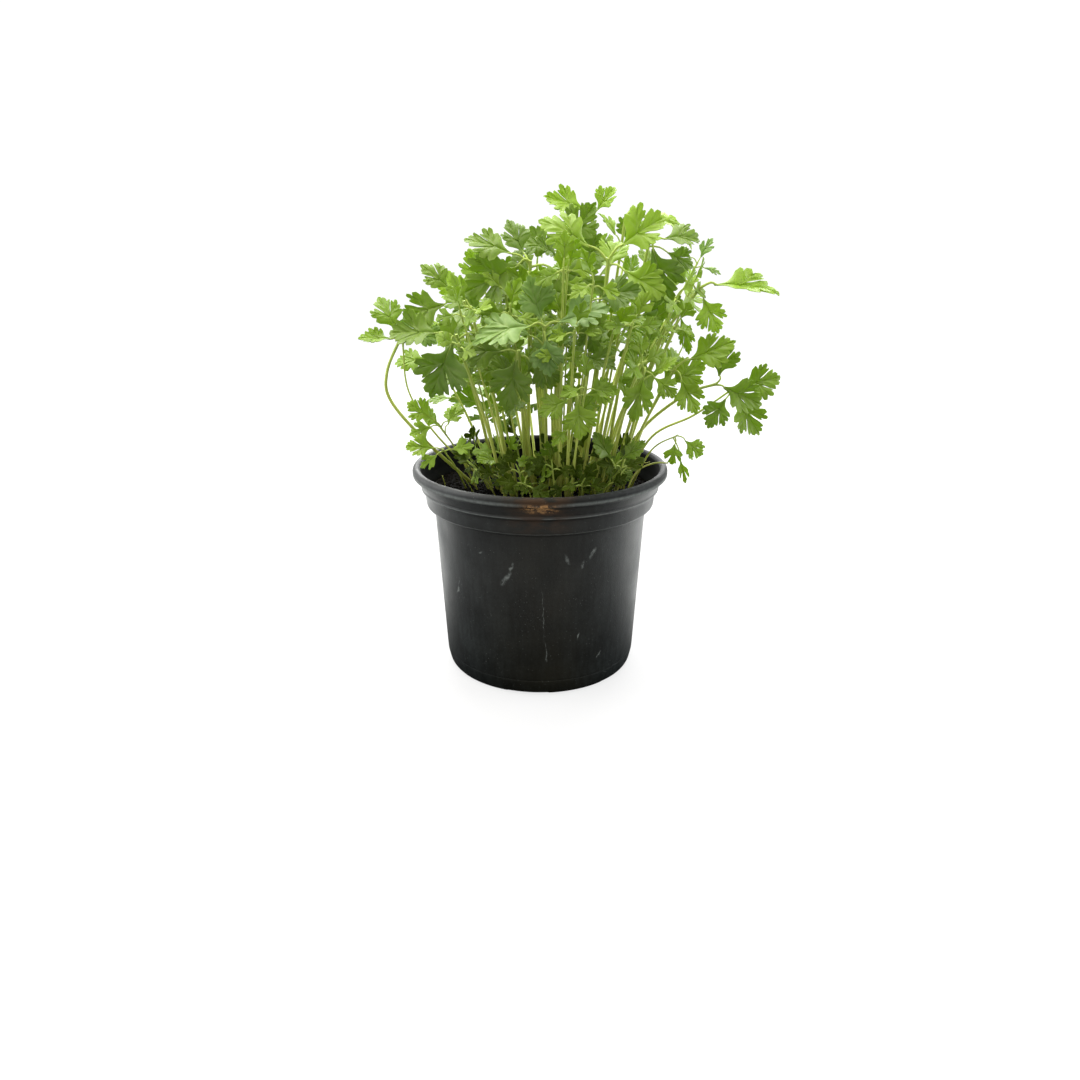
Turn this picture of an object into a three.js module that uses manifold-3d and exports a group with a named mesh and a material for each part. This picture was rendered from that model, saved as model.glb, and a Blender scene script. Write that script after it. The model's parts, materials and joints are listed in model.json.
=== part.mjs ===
// Potted flat-leaf parsley in a black plastic nursery pot.
// Millimetres, up is +Z, the origin is the middle of the pot's underside.
// The photograph looks along +Y from a little above the rim, with +X to its right.
import * as THREE from 'three';
import { mergeVertices } from 'three/addons/utils/BufferGeometryUtils.js';
import Module from 'manifold-3d';

const wasm = await Module();
wasm.setup();
const { Manifold, Mesh: SolidMesh } = wasm;

// Pot
const potSides = 40;
const drainSlots = 6;
const drainSlotRing = 52;
const drainSlotLength = 16;
const drainSlotWidth = 22;
const drainSlotHeight = 1.2;
const drainSlotTurn = -97;
const drainHoleRing = 30;
const drainHoleRadius = 4.5;
const drainHoleSides = 6;
const floorTop = 3.4;

// Soil
const soilTop = 109;
const soilDome = 1.4;
const soilRadius = 64;
const fitGap = 0.35;

// Stalks and leaves
const rootDepth = 8;
const holeSides = 4;
const holeGap = 0.32;
const bladeThickness = 0.62;
const sideStemRadius = 0.36;
const hiddenFronds = 5;
const lowFronds = 7;

// Half the space kept between leaves and between stalks, and the zone of the pot's rim that both keep out of
const leafRoom = 1.95;
const stalkRoom = 1.75;
const rimZone = { inside: 62, outside: 79, top: 127 };

// Colours read off the photograph
const potBlack = '#26292a';
const soilBrown = '#1f1710';
const tones = {
  bright: '#86b53a',
  fresh: '#6f9f2f',
  deep: '#42701f',
  pale: '#9bbd84',
};

const up = new THREE.Vector3(0, 0, 1);

// Where the photograph was taken from; fronds may slide along this line of sight to miss each other
const eye = new THREE.Vector3(0, -500, 253);

// Seeded draws, the same every time
let seed = 31;

function draw() {
  seed = (seed * 1664525 + 1013904223) % 4294967296;
  return seed / 4294967296;
}

function between(low, high) {
  return low + (high - low) * draw();
}

function radians(degrees) {
  return (degrees * Math.PI) / 180;
}

function material(colour, roughness) {
  return new THREE.MeshStandardMaterial({ color: colour, roughness, metalness: 0 });
}

function part(name, solid, colour, roughness) {
  const mesh = solid.getMesh();
  const stride = mesh.numProp;
  const count = mesh.vertProperties.length / stride;
  const positions = new Float32Array(count * 3);
  for (let i = 0; i < count; i += 1) {
    for (let k = 0; k < 3; k += 1) {
      positions[3 * i + k] = mesh.vertProperties[stride * i + k];
    }
  }
  const geometry = new THREE.BufferGeometry();
  geometry.setAttribute('position', new THREE.BufferAttribute(positions, 3));
  geometry.setIndex(new THREE.BufferAttribute(new Uint32Array(mesh.triVerts), 1));
  const piece = new THREE.Mesh(geometry, material(colour, roughness));
  piece.name = name;
  return piece;
}

function solidFrom(points, triangles) {
  const mesh = new SolidMesh({
    numProp: 3,
    vertProperties: new Float32Array(points.flatMap((p) => [p.x, p.y, p.z])),
    triVerts: new Uint32Array(triangles.flat()),
  });
  return new Manifold(mesh);
}

// A closed geometry as a solid
function solidOf(geometry) {
  geometry.deleteAttribute('normal');
  geometry.deleteAttribute('uv');
  const merged = mergeVertices(geometry);
  return new Manifold(new SolidMesh({
    numProp: 3,
    vertProperties: merged.attributes.position.array,
    triVerts: new Uint32Array(merged.index.array),
  }));
}

// A round body from a profile of [radius, height] that starts and ends on the axis
function turned(profile) {
  const lathe = new THREE.LatheGeometry(profile.map(([r, z]) => new THREE.Vector2(r, z)), potSides);
  return solidOf(lathe.rotateX(Math.PI / 2));
}

// The skin of a tube through a row of points, with a radius for each, closed at its start
function tubeSkin(points, radii, sides) {
  const vertices = [];
  const triangles = [];
  const side = new THREE.Vector3(0, 1, 0);
  points.forEach((point, k) => {
    const before = points[Math.max(k - 1, 0)];
    const after = points[Math.min(k + 1, points.length - 1)];
    const along = after.clone().sub(before).normalize();
    side.addScaledVector(along, -side.dot(along)).normalize();
    const across = along.clone().cross(side);
    for (let i = 0; i < sides; i += 1) {
      const angle = (2 * Math.PI * i) / sides;
      const vertex = point.clone();
      vertex.addScaledVector(side, radii[k] * Math.cos(angle));
      vertex.addScaledVector(across, radii[k] * Math.sin(angle));
      vertices.push(vertex);
    }
  });
  for (let k = 0; k + 1 < points.length; k += 1) {
    for (let i = 0; i < sides; i += 1) {
      const j = (i + 1) % sides;
      const a = k * sides;
      const b = a + sides;
      triangles.push([a + i, a + j, b + j], [a + i, b + j, b + i]);
    }
  }
  for (let i = 1; i + 1 < sides; i += 1) {
    triangles.push([0, i + 1, i]);
  }
  return { points: vertices, triangles };
}

// A closed tube
function tube(points, radii, sides) {
  const skin = tubeSkin(points, radii, sides);
  const last = (points.length - 1) * sides;
  for (let i = 1; i + 1 < sides; i += 1) {
    skin.triangles.push([last, last + i, last + i + 1]);
  }
  return solidFrom(skin.points, skin.triangles);
}

// Pot: foot ring, tapered wall, rounded shoulder, band with a raised line, rolled lip
function makePot() {
  const profile = [
    [0, 0], [11, 0], [12.5, 1.6], [47, 1.6], [48.5, 0], [54.2, 0], [56.5, 1.8], [57.8, 7.5],
    [62.7, 93], [63.2, 95.4], [66.7, 100.6], [67.8, 103.2], [68, 108.4], [69.4, 110.5], [70.4, 110.9],
    [70.2, 112.6], [72.2, 115.6], [74.6, 118.4], [75, 121.2], [73.9, 123.7], [71.4, 124],
    [69.4, 119.4], [68.4, 113.2], [66.4, 109.2], [66.2, 104], [61.1, 94.6], [56.2, 8], [53.6, floorTop],
    [0, floorTop],
  ];
  let pot = turned(profile);
  for (let i = 0; i < drainSlots; i += 1) {
    const slot = new THREE.BoxGeometry(drainSlotLength, drainSlotWidth, 2 * drainSlotHeight)
      .translate(drainSlotRing, 0, 0)
      .rotateZ(radians(drainSlotTurn + (360 * i) / drainSlots));
    const hole = new THREE.CylinderGeometry(drainHoleRadius, drainHoleRadius, 3 * floorTop, drainHoleSides)
      .rotateX(Math.PI / 2)
      .translate(drainHoleRing, 0, 0)
      .rotateZ(radians(drainSlotTurn + (360 * (i + 0.5)) / drainSlots));
    pot = pot.subtract(solidOf(slot)).subtract(solidOf(hole));
  }
  return pot;
}

// Height of the soil's face, a low dome
function soilFace(x, y) {
  return soilTop + soilDome * (1 - (x * x + y * y) / soilRadius ** 2);
}

function makeSoil(fronds) {
  const gap = fitGap;
  const profile = [
    [0, floorTop + gap], [53.6 - gap, floorTop + gap], [56.2 - gap, 8.1], [61.1 - gap, 94.8],
    [66.2 - gap, 104.2], [66.3 - gap, soilFace(66, 0)], [56, soilFace(56, 0)], [30, soilFace(30, 0)],
    [0, soilFace(0, 0)],
  ];
  const holes = fronds.map((frond) => {
    const radius = (frond.radii[0] + holeGap) / Math.cos(Math.PI / holeSides);
    const below = frond.path[0].clone().addScaledVector(frond.rise, -0.5);
    const above = frond.path[1].clone().addScaledVector(frond.rise, 5);
    return tube([below, above], [radius, radius], holeSides);
  });
  return turned(profile).subtract(Manifold.union(holes));
}

// A smooth path through points; the first and last only steer it
function through(points, steps) {
  const curve = new THREE.CatmullRomCurve3(points, false, 'catmullrom', 0.5);
  const spans = points.length - 1;
  const path = [];
  for (let i = 0; i <= steps * (spans - 2); i += 1) {
    path.push(curve.getPoint((1 + i / steps) / spans));
  }
  return path;
}

// The point of a leaflet's middle sheet, s along it and t across it in half widths
function onBlade(leaf, s, t) {
  const turn = leaf.bend * s + 0.0001;
  const reach = (leaf.length * s * Math.sin(turn)) / turn;
  const drop = (leaf.length * s * (1 - Math.cos(turn))) / turn;
  const half = 0.5 * leaf.width * t;
  const lift = Math.abs(half) * Math.sin(leaf.fold) + 0.05 * leaf.width * Math.sin(leaf.wave + 2.6 * t + 3 * s);
  const lean = leaf.axis.clone().multiplyScalar(Math.sin(turn)).addScaledVector(leaf.normal, Math.cos(turn));
  const point = leaf.base.clone();
  point.addScaledVector(leaf.axis, reach);
  point.addScaledVector(leaf.normal, -drop);
  point.addScaledVector(leaf.across, half * Math.cos(leaf.fold));
  point.addScaledVector(lean, lift * Math.min(1, 3 * s));
  return point;
}

// Half of a leaflet's cut edge, from the base over the side lobe to the middle lobe: [s, t]
const cutEdge = [[0, 0.07], [0.36, 0.84], [0.5, 0.74], [0.68, 0.92], [0.5, 0.26], [0.83, 0.42]];
const smallEdge = [[0, 0.1], [0.4, 0.95], [0.64, 0.8], [0.54, 0.3], [0.85, 0.4]];

// One leaflet, a cut sheet on its veins with triangles alike on both faces, added to a skin.
// `ring` holds the four corners in the skin that its stem grows from.
function addLeaflet(skin, leaf, ring) {
  const half = leaf.small ? smallEdge : cutEdge;
  const notch = leaf.small ? 3 : 4;
  const right = half.map(([s, t]) => [s, t * leaf.right]);
  const left = half.map(([s, t]) => [s, -t * leaf.left]).reverse();
  const edge = [...right, [1, 0], ...left];
  const count = edge.length;
  const last = count - 1;
  const fork = count;
  const faces = [];
  const veins = [[0.42, 0]];
  if (leaf.small) {
    for (let i = 0; i < count; i += 1) {
      faces.push([i, (i + 1) % count, fork]);
    }
  } else {
    const [rightLobe, middleLobe, leftLobe] = [count + 1, count + 2, count + 3];
    veins.push([0.47, 0.5 * leaf.right], [0.72, 0], [0.47, -0.5 * leaf.left]);
    for (let i = 0; i < last; i += 1) {
      const inRight = i < notch;
      const inLeft = i >= last - notch;
      faces.push([i, i + 1, inRight ? rightLobe : inLeft ? leftLobe : middleLobe]);
    }
    faces.push([0, rightLobe, fork], [notch, fork, rightLobe], [notch, middleLobe, fork], [last, 0, fork]);
    faces.push([last - notch, fork, middleLobe], [last - notch, leftLobe, fork], [last, fork, leftLobe]);
  }

  const middle = [...edge, ...veins].map(([s, t]) => onBlade(leaf, s, t));
  const normals = middle.map(() => new THREE.Vector3());
  faces.forEach(([a, b, c]) => {
    const normal = middle[b].clone().sub(middle[a]).cross(middle[c].clone().sub(middle[a]));
    [a, b, c].forEach((k) => normals[k].add(normal));
  });
  normals.forEach((normal) => normal.normalize());

  const top = skin.points.length;
  const under = top + middle.length;
  [0.5, -0.5].forEach((side) => {
    middle.forEach((point, k) => {
      skin.points.push(point.clone().addScaledVector(normals[k], side * bladeThickness));
    });
  });
  faces.forEach(([a, b, c]) => {
    skin.triangles.push([top + a, top + b, top + c], [under + a, under + c, under + b]);
  });
  for (let i = 0; i < last; i += 1) {
    skin.triangles.push([top + i, under + i + 1, top + i + 1], [top + i, under + i, under + i + 1]);
  }

  // The stem runs from the four corners of the blade's base back to the ring, turned the nearest way
  const base = [top, top + last, under + last, under];
  const spread = (turn) => base.reduce((sum, corner, i) => (
    sum + skin.points[corner].distanceTo(skin.points[ring[(i + turn) % 4]])
  ), 0);
  const turn = [0, 1, 2, 3].sort((a, b) => spread(a) - spread(b))[0];
  for (let i = 0; i < 4; i += 1) {
    const j = (i + 1) % 4;
    const near = ring[(i + turn) % 4];
    const next = ring[(j + turn) % 4];
    skin.triangles.push([base[i], base[j], next], [base[i], next, near]);
  }
}

// A side leaflet with a square root sunk in the stalk
function sideLeaflet(leaf) {
  const corner = (x, z) => leaf.root.clone().addScaledVector(leaf.across, x).addScaledVector(leaf.normal, z);
  const r = sideStemRadius;
  const skin = {
    points: [corner(r, r), corner(-r, r), corner(-r, -r), corner(r, -r)],
    triangles: [[0, 1, 2], [0, 2, 3]],
  };
  addLeaflet(skin, leaf, [0, 1, 2, 3]);
  return solidFrom(skin.points, skin.triangles);
}

// The stalk runs on into its end leaflet; the side leaflets are fused to it
function makeFrond(frond) {
  const skin = tubeSkin(frond.path, frond.radii, 4);
  const end = skin.points.length - 4;
  addLeaflet(skin, frond.leaves[0], [end, end + 3, end + 2, end + 1]);
  const stalk = solidFrom(skin.points, skin.triangles);
  return Manifold.union([stalk, ...frond.leaves.slice(1).map(sideLeaflet)]);
}

// Leaf layout

// Points already taken by leaves and stalks, sorted into cubes
const cube = 5;
const taken = new Map();

function cubeOf(value) {
  return Math.floor(value / cube) + 200;
}

function cubeKey(x, y, z) {
  return (x * 1000 + y) * 1000 + z;
}

function isClear(samples) {
  for (const { point, room } of samples) {
    const [cx, cy, cz] = [cubeOf(point.x), cubeOf(point.y), cubeOf(point.z)];
    for (let x = cx - 1; x <= cx + 1; x += 1) {
      for (let y = cy - 1; y <= cy + 1; y += 1) {
        for (let z = cz - 1; z <= cz + 1; z += 1) {
          for (const other of taken.get(cubeKey(x, y, z)) || []) {
            if (point.distanceTo(other.point) < room + other.room) {
              return false;
            }
          }
        }
      }
    }
  }
  return true;
}

function take(samples) {
  samples.forEach((sample) => {
    const { x, y, z } = sample.point;
    const key = cubeKey(cubeOf(x), cubeOf(y), cubeOf(z));
    if (!taken.has(key)) {
      taken.set(key, []);
    }
    taken.get(key).push(sample);
  });
}

// Samples along a line, about 2.5 mm apart
function lineSamples(points, room) {
  const samples = [];
  for (let k = 0; k + 1 < points.length; k += 1) {
    const steps = Math.ceil(points[k].distanceTo(points[k + 1]) / 2.5);
    for (let i = 0; i < steps; i += 1) {
      samples.push({ point: points[k].clone().lerp(points[k + 1], i / steps), room });
    }
  }
  samples.push({ point: points[points.length - 1].clone(), room });
  return samples;
}

// Samples over a leaflet, about 2.6 mm apart
function leafSamples(leaf) {
  const samples = [];
  const rows = Math.ceil(leaf.length / 2.6);
  for (let i = 0; i <= rows; i += 1) {
    const s = i / rows;
    const reach = s < 0.6 ? 0.08 + 1.5 * s : 0.98 - 1.6 * (s - 0.6);
    const columns = Math.ceil((0.5 * leaf.width * reach) / 2.6);
    for (let j = -columns; j <= columns; j += 1) {
      samples.push({ point: onBlade(leaf, s, (reach * j) / columns), room: leafRoom });
    }
  }
  return samples;
}

// A direction from its angle in the picture plane and its turn toward the viewer;
// the viewer walks round the plant by `turn`
function direction(angle, toward, turn) {
  const [a, b, c] = [radians(angle), radians(toward), radians(turn)];
  const right = Math.cos(a) * Math.cos(b);
  const front = Math.sin(b);
  return new THREE.Vector3(
    right * Math.cos(c) + front * Math.sin(c),
    right * Math.sin(c) - front * Math.cos(c),
    Math.sin(a) * Math.cos(b),
  );
}

// Builds a frond from its plan; `loose` lets the draws move it further from the plan
function setOut(plan, loose) {
  const shift = () => between(-1, 1) * loose;
  const hub = new THREE.Vector3(...plan.hub);
  const sight = hub.clone().sub(eye).normalize();
  hub.addScaledVector(sight, 7 * shift());
  hub.x += 0.7 * shift();
  hub.z += 0.7 * shift();
  const [fx, fy] = plan.foot;
  const foot = new THREE.Vector3(fx + 0.6 * shift(), fy + 0.6 * shift(), 0);
  foot.z = soilFace(foot.x, foot.y);
  const moved = hub.clone().sub(new THREE.Vector3(...plan.hub));
  const guides = (plan.via || []).map((point) => new THREE.Vector3(...point).addScaledVector(moved, 0.6));
  if (!guides.length) {
    guides.push(foot.clone().lerp(hub, 0.45));
    guides[0].z += 0.07 * (hub.z - foot.z);
  }
  const rise = guides[0].clone().sub(foot).normalize();
  rise.z = Math.max(rise.z, 0.75);
  rise.normalize();
  const deep = foot.clone().addScaledVector(rise, -rootDepth);
  const onward = hub.clone().lerp(guides[guides.length - 1], -0.5);
  const path = [deep, ...through([deep, foot, ...guides, hub, onward], 2)];
  const radii = path.map((point, k) => plan.thick * (1.08 - (0.36 * k) / (path.length - 1)));
  radii[radii.length - 1] *= 1.15;
  const tip = hub.clone().sub(path[path.length - 2]).normalize();

  const leaves = plan.leaves.map(([angle, toward, length, width, stem, face, bend], k) => {
    const node = hub.clone().addScaledVector(tip, k ? -0.5 - 1.1 * k : 0);
    const axis = direction(angle + 3 * shift(), toward + 6 * shift(), plan.turn || 0);
    const tilt = radians(face + 4 * shift());
    const front = direction(0, 90, plan.turn || 0);
    const normal = up.clone().multiplyScalar(Math.cos(tilt)).addScaledVector(front, Math.sin(tilt));
    normal.addScaledVector(axis, -normal.dot(axis)).normalize();
    return {
      root: k ? node.clone().addScaledVector(axis, -0.1) : node.clone(),
      base: node.clone().addScaledVector(axis, stem + 3).addScaledVector(up, 0.1 * stem),
      axis,
      normal,
      across: axis.clone().cross(normal),
      length: length * (1 - 0.035 * loose),
      width: width * (1 - 0.035 * loose),
      bend: bend || 0.35,
      fold: 0.1 + 0.25 * draw(),
      wave: 6.28 * draw(),
      left: 0.86 + 0.2 * draw(),
      right: 0.86 + 0.2 * draw(),
      small: length < 15,
    };
  });
  return { path, radii, rise, leaves, tone: plan.tone };
}

// True where a frond misses the pot and soil and everything placed so far
function fits(frond, samples) {
  const inside = samples.every(({ point }) => {
    const reach = Math.hypot(point.x, point.y);
    return point.z > rimZone.top || reach < rimZone.inside || reach > rimZone.outside;
  });
  const overSoil = ({ point }) => point.z > soilTop + 3.5;
  return inside && frond.leaves.every((leaf) => leafSamples(leaf).every(overSoil)) && isClear(samples);
}

function samplesOf(frond) {
  const samples = lineSamples(frond.path, stalkRoom);
  frond.leaves.forEach((leaf) => {
    samples.push(...lineSamples([leaf.root, leaf.base], stalkRoom));
    samples.push(...leafSamples(leaf));
  });
  return samples;
}

// Tries a plan, loosening it a little each time, until it fits
function place(plan, tries) {
  for (let k = 0; k < tries; k += 1) {
    const frond = setOut(plan, 0.12 * k);
    const samples = samplesOf(frond);
    if (fits(frond, samples)) {
      take(samples);
      return frond;
    }
  }
  return null;
}

// Fronds seen in the photograph, nearest and clearest first.
// leaves: [angle, toward, length, width, stem, face, bend]
const seen = [
  { tone: 'bright', foot: [27, -6], hub: [35, -36, 240], via: [[27, -14, 140], [31, -26, 182]], thick: 1.25,
    leaves: [[40, 15, 25, 25, 6, 55], [148, 5, 28, 26, 9, 60], [-28, 28, 24, 25, 7, 84, 0.5]] },
  { tone: 'bright', foot: [39, 4], hub: [85, -22, 225], via: [[44, -8, 148], [64, -18, 195]], thick: 1.05,
    leaves: [[6, 4, 37, 21, 4, 38, 0.5], [-62, 12, 19, 18, 3, 72], [142, 0, 16, 15, 3, 50]] },
  { tone: 'deep', foot: [47, -2], hub: [95, -34, 176], via: [[56, -14, 144], [78, -27, 168]], thick: 0.9,
    leaves: [[82, 8, 19, 20, 1, 78], [-20, 14, 23, 22, 2, 72]] },
  { tone: 'deep', foot: [51, 6], hub: [110, -10, 170], via: [[66, 2, 139], [89, -4, 153]], thick: 0.75,
    leaves: [[14, 10, 21, 23, 1, 82], [-58, 12, 24, 22, 4, 82], [-122, 18, 19, 18, 3, 78]] },
  { tone: 'fresh', foot: [-40, 2], hub: [-76, -18, 198], thick: 0.95,
    via: [[-65, -15, 140], [-83, -19, 164], [-84, -20, 180]],
    leaves: [[116, -5, 20, 19, 2, 50], [168, 6, 18, 15, 1, 34]] },
  { tone: 'pale', foot: [4, -18], hub: [2, -60, 209], thick: 0.9,
    leaves: [[186, 12, 31, 28, 3, 38], [22, 10, 26, 24, 4, 45], [-82, 25, 18, 19, 2, 82, 0.5],
      [105, 8, 21, 21, 3, 50]] },
  { tone: 'deep', foot: [-7, -4], hub: [-5, -32, 238], thick: 1.0,
    leaves: [[204, 12, 34, 31, 3, 66], [160, 0, 26, 23, 8, 50], [-14, 6, 33, 27, 10, 55],
      [118, -25, 21, 19, 5, 40]] },
  { tone: 'deep', foot: [37, -4], hub: [60, -16, 247], thick: 0.95,
    leaves: [[-74, 14, 32, 29, 2, 84, 0.3], [16, 5, 22, 20, 5, 50], [-34, -20, 18, 17, 8, 75]] },
  { tone: 'deep', foot: [-25, -8], hub: [-44, -36, 202], thick: 0.95,
    leaves: [[246, 15, 29, 32, 3, 84, 0.3], [172, 5, 26, 22, 7, 50], [12, 10, 26, 24, 8, 60]] },
  { tone: 'bright', foot: [20, 12], hub: [29, 8, 262], thick: 0.85,
    leaves: [[158, 10, 23, 19, 2, 60], [200, -8, 19, 16, 2, 40], [58, 5, 15, 14, 2, 45]] },
  { tone: 'bright', foot: [31, 6], hub: [46, -4, 261], thick: 0.9,
    leaves: [[-2, 5, 40, 18, 3, 40, 1.15], [-40, -30, 15, 13, 3, 60]] },
  { tone: 'deep', foot: [-18, 6], hub: [-42, -12, 217], thick: 0.9,
    leaves: [[196, 12, 27, 25, 8, 76], [138, 0, 20, 18, 8, 42], [-28, 14, 23, 22, 5, 66]] },
  { tone: 'pale', foot: [-34, 10], hub: [-78, 2, 193], via: [[-60, 4, 138], [-76, 3, 165]], thick: 0.6,
    leaves: [[20, 10, 19, 18, 3, 62], [72, -10, 13, 12, 4, 45]] },
  { tone: 'fresh', foot: [45, -10], hub: [74, -28, 185], thick: 0.85,
    leaves: [[26, 10, 25, 23, 5, 68], [-58, 15, 21, 18, 4, 78], [192, 8, 21, 20, 5, 60]] },
  { tone: 'fresh', foot: [40, -16], hub: [70, -40, 214], thick: 0.6,
    leaves: [[-66, 10, 24, 12, 3, 74, 0.5], [150, 5, 18, 16, 4, 55]] },
  { tone: 'bright', foot: [33, -17], hub: [54, -48, 186], thick: 0.75,
    leaves: [[-104, 15, 25, 18, 2, 82, 0.3], [-38, 10, 16, 14, 4, 70], [96, 0, 14, 12, 4, 50]] },
  { tone: 'fresh', foot: [15, -20], hub: [19, -58, 175], thick: 0.7,
    leaves: [[-84, 20, 19, 19, 1, 86], [202, 12, 17, 16, 2, 60], [12, 10, 17, 16, 2, 62]] },
  { tone: 'deep', foot: [-8, -19], hub: [-11, -50, 196], thick: 0.8,
    leaves: [[-104, 12, 27, 25, 2, 86], [176, 5, 24, 21, 5, 60], [-30, 10, 19, 18, 4, 70]] },
  { tone: 'deep', foot: [17, -8], hub: [48, -10, 206], thick: 0.85,
    leaves: [[24, 10, 25, 23, 6, 60], [184, 12, 23, 21, 4, 66], [-70, 12, 21, 19, 3, 80]] },
  { tone: 'deep', foot: [10, 4], hub: [22, -20, 216], thick: 0.9,
    leaves: [[170, 15, 25, 22, 6, 62], [14, 10, 25, 23, 6, 64], [-86, 20, 21, 19, 3, 80]] },
  { tone: 'pale', foot: [34, 15], hub: [90, 20, 236], thick: 0.55,
    leaves: [[148, 0, 11, 8, 2, 50], [62, 0, 12, 9, 2, 40], [-10, -10, 11, 6, 3, 40]] },
  { tone: 'bright', foot: [52, -12], hub: [76, -30, 147], via: [[63, -20, 136]], thick: 0.5,
    leaves: [[-38, 10, 15, 13, 2, 70, 0.9], [-96, 14, 12, 11, 2, 80, 0.6], [-74, 6, 14, 6, 12, 80]] },
  { tone: 'bright', foot: [-37, -9], hub: [-57, -22, 152], thick: 0.5,
    leaves: [[142, 8, 15, 14, 2, 55], [196, 5, 13, 12, 2, 60], [36, 0, 12, 11, 2, 50]] },
  { tone: 'bright', foot: [-44, -5], hub: [-53, -38, 141], thick: 0.5,
    leaves: [[172, 10, 15, 14, 2, 60], [214, 15, 11, 10, 2, 70], [14, 10, 12, 11, 2, 60]] },
  { tone: 'fresh', foot: [-15, 0], hub: [-26, -10, 180], thick: 0.8,
    leaves: [[170, 10, 21, 19, 4, 55], [10, 10, 21, 19, 4, 60], [-96, 10, 14, 13, 2, 80]] },
  { tone: 'deep', foot: [46, -16], hub: [41, -25, 129], thick: 0.6,
    leaves: [[116, 12, 20, 13, 1, 74], [44, 12, 18, 12, 2, 70]] },
  { tone: 'fresh', foot: [-29, 16], hub: [-60, 18, 180], thick: 0.75,
    leaves: [[176, 0, 21, 19, 3, 45], [60, -10, 19, 17, 4, 45], [-20, 0, 19, 17, 4, 55]] },
];

// Leaflet sprays inside the crown, between the ones listed above: hub and tone
const inner = [
  [14, 2, 241, 'deep'], [29, 8, 226, 'fresh'], [46, 4, 240, 'deep'], [60, 10, 214, 'fresh'],
  [-22, -4, 214, 'deep'], [-31, 14, 217, 'bright'], [-2, 18, 233, 'fresh'], [14, -22, 200, 'deep'],
  [-48, 16, 206, 'fresh'], [76, 10, 220, 'bright'], [36, -12, 190, 'fresh'], [-16, -16, 178, 'fresh'],
];

function innerPlan([x, y, z, tone]) {
  const size = between(22, 27);
  return {
    tone,
    foot: [6 + 0.42 * (x - 6) + between(-4, 4), 0.35 * y + between(-4, 12)],
    hub: [x, y, z],
    thick: between(0.7, 0.9),
    leaves: [
      [between(60, 120), between(-10, 35), size, size * 0.95, 5, between(35, 65)],
      [between(155, 215), between(0, 30), size * 0.95, size * 0.85, 4, between(40, 75)],
      [between(-40, 25), between(0, 30), size * 0.95, size * 0.85, 4, between(40, 75)],
    ],
  };
}

// Top of the crown, highest a little right of the middle
function crownTop(x, y) {
  return 262 - 0.009 * (x - 30) * (x - 30) - 0.28 * y;
}

// Fronds round the sides and back that the photograph hides, by rule
function hiddenPlan() {
  const turn = between(80, 280);
  const rank = draw();
  const reach = 26 + 36 * rank + between(-5, 5);
  const out = direction(0, 90, turn);
  const [x, y] = [10 + reach * 1.1 * out.x, 6 + reach * out.y];
  const foot = [6 + (10 + 28 * rank) * out.x + between(-5, 5), 4 + (6 + 18 * rank) * out.y + between(-5, 5)];
  const size = between(21, 27);
  return {
    tone: ['deep', 'fresh', 'bright', 'deep'][Math.floor(4 * draw())],
    foot,
    hub: [x, y, crownTop(x, y) - 8 - 46 * rank * rank - between(0, 24)],
    turn,
    thick: between(0.7, 1),
    leaves: [
      [90, between(48, 80), size * 1.1, size * 1.02, 6, between(15, 60), between(0.3, 0.7)],
      [between(150, 180), between(0, 25), size, size * 0.9, 4, between(20, 70)],
      [between(0, 30), between(0, 25), size, size * 0.9, 4, between(20, 70)],
    ],
  };
}

// Small young leaves low among the stalks, by rule
function lowPlan() {
  const turn = between(-75, 75);
  const out = direction(0, 90, turn);
  const reach = between(0.7, 1.3);
  const foot = [6 + 38 * reach * out.x, 20 * reach * out.y];
  const hub = [foot[0] + 9 * out.x, foot[1] + 9 * out.y, between(120, 138)];
  return {
    tone: ['fresh', 'bright', 'deep'][Math.floor(3 * draw())],
    foot,
    hub,
    turn,
    thick: 0.5,
    leaves: [
      [between(60, 120), between(20, 60), between(10, 14), between(9, 13), 2, between(40, 80)],
      [draw() < 0.5 ? between(150, 200) : between(-20, 30), 20, between(9, 13), between(9, 12), 2, 60],
    ],
  };
}

const fronds = [...seen, ...inner.map(innerPlan)].map((plan) => place(plan, 60)).filter(Boolean);
const rules = [[hiddenPlan, hiddenFronds], [lowPlan, lowFronds]];
rules.forEach(([rule, wanted]) => {
  let placed = 0;
  for (let k = 0; k < 600 && placed < wanted; k += 1) {
    const frond = place(rule(), 4);
    if (frond) {
      fronds.push(frond);
      placed += 1;
    }
  }
});

const plant = new THREE.Group();
plant.name = 'potted_parsley';
plant.add(part('pot', makePot(), potBlack, 0.45));
plant.add(part('soil', makeSoil(fronds), soilBrown, 0.95));
fronds.forEach((frond, i) => {
  const name = `frond_${String(i + 1).padStart(2, '0')}`;
  plant.add(part(name, makeFrond(frond), tones[frond.tone], 0.5));
});

export default plant;
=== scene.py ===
import json
import math
from functools import partial

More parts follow.
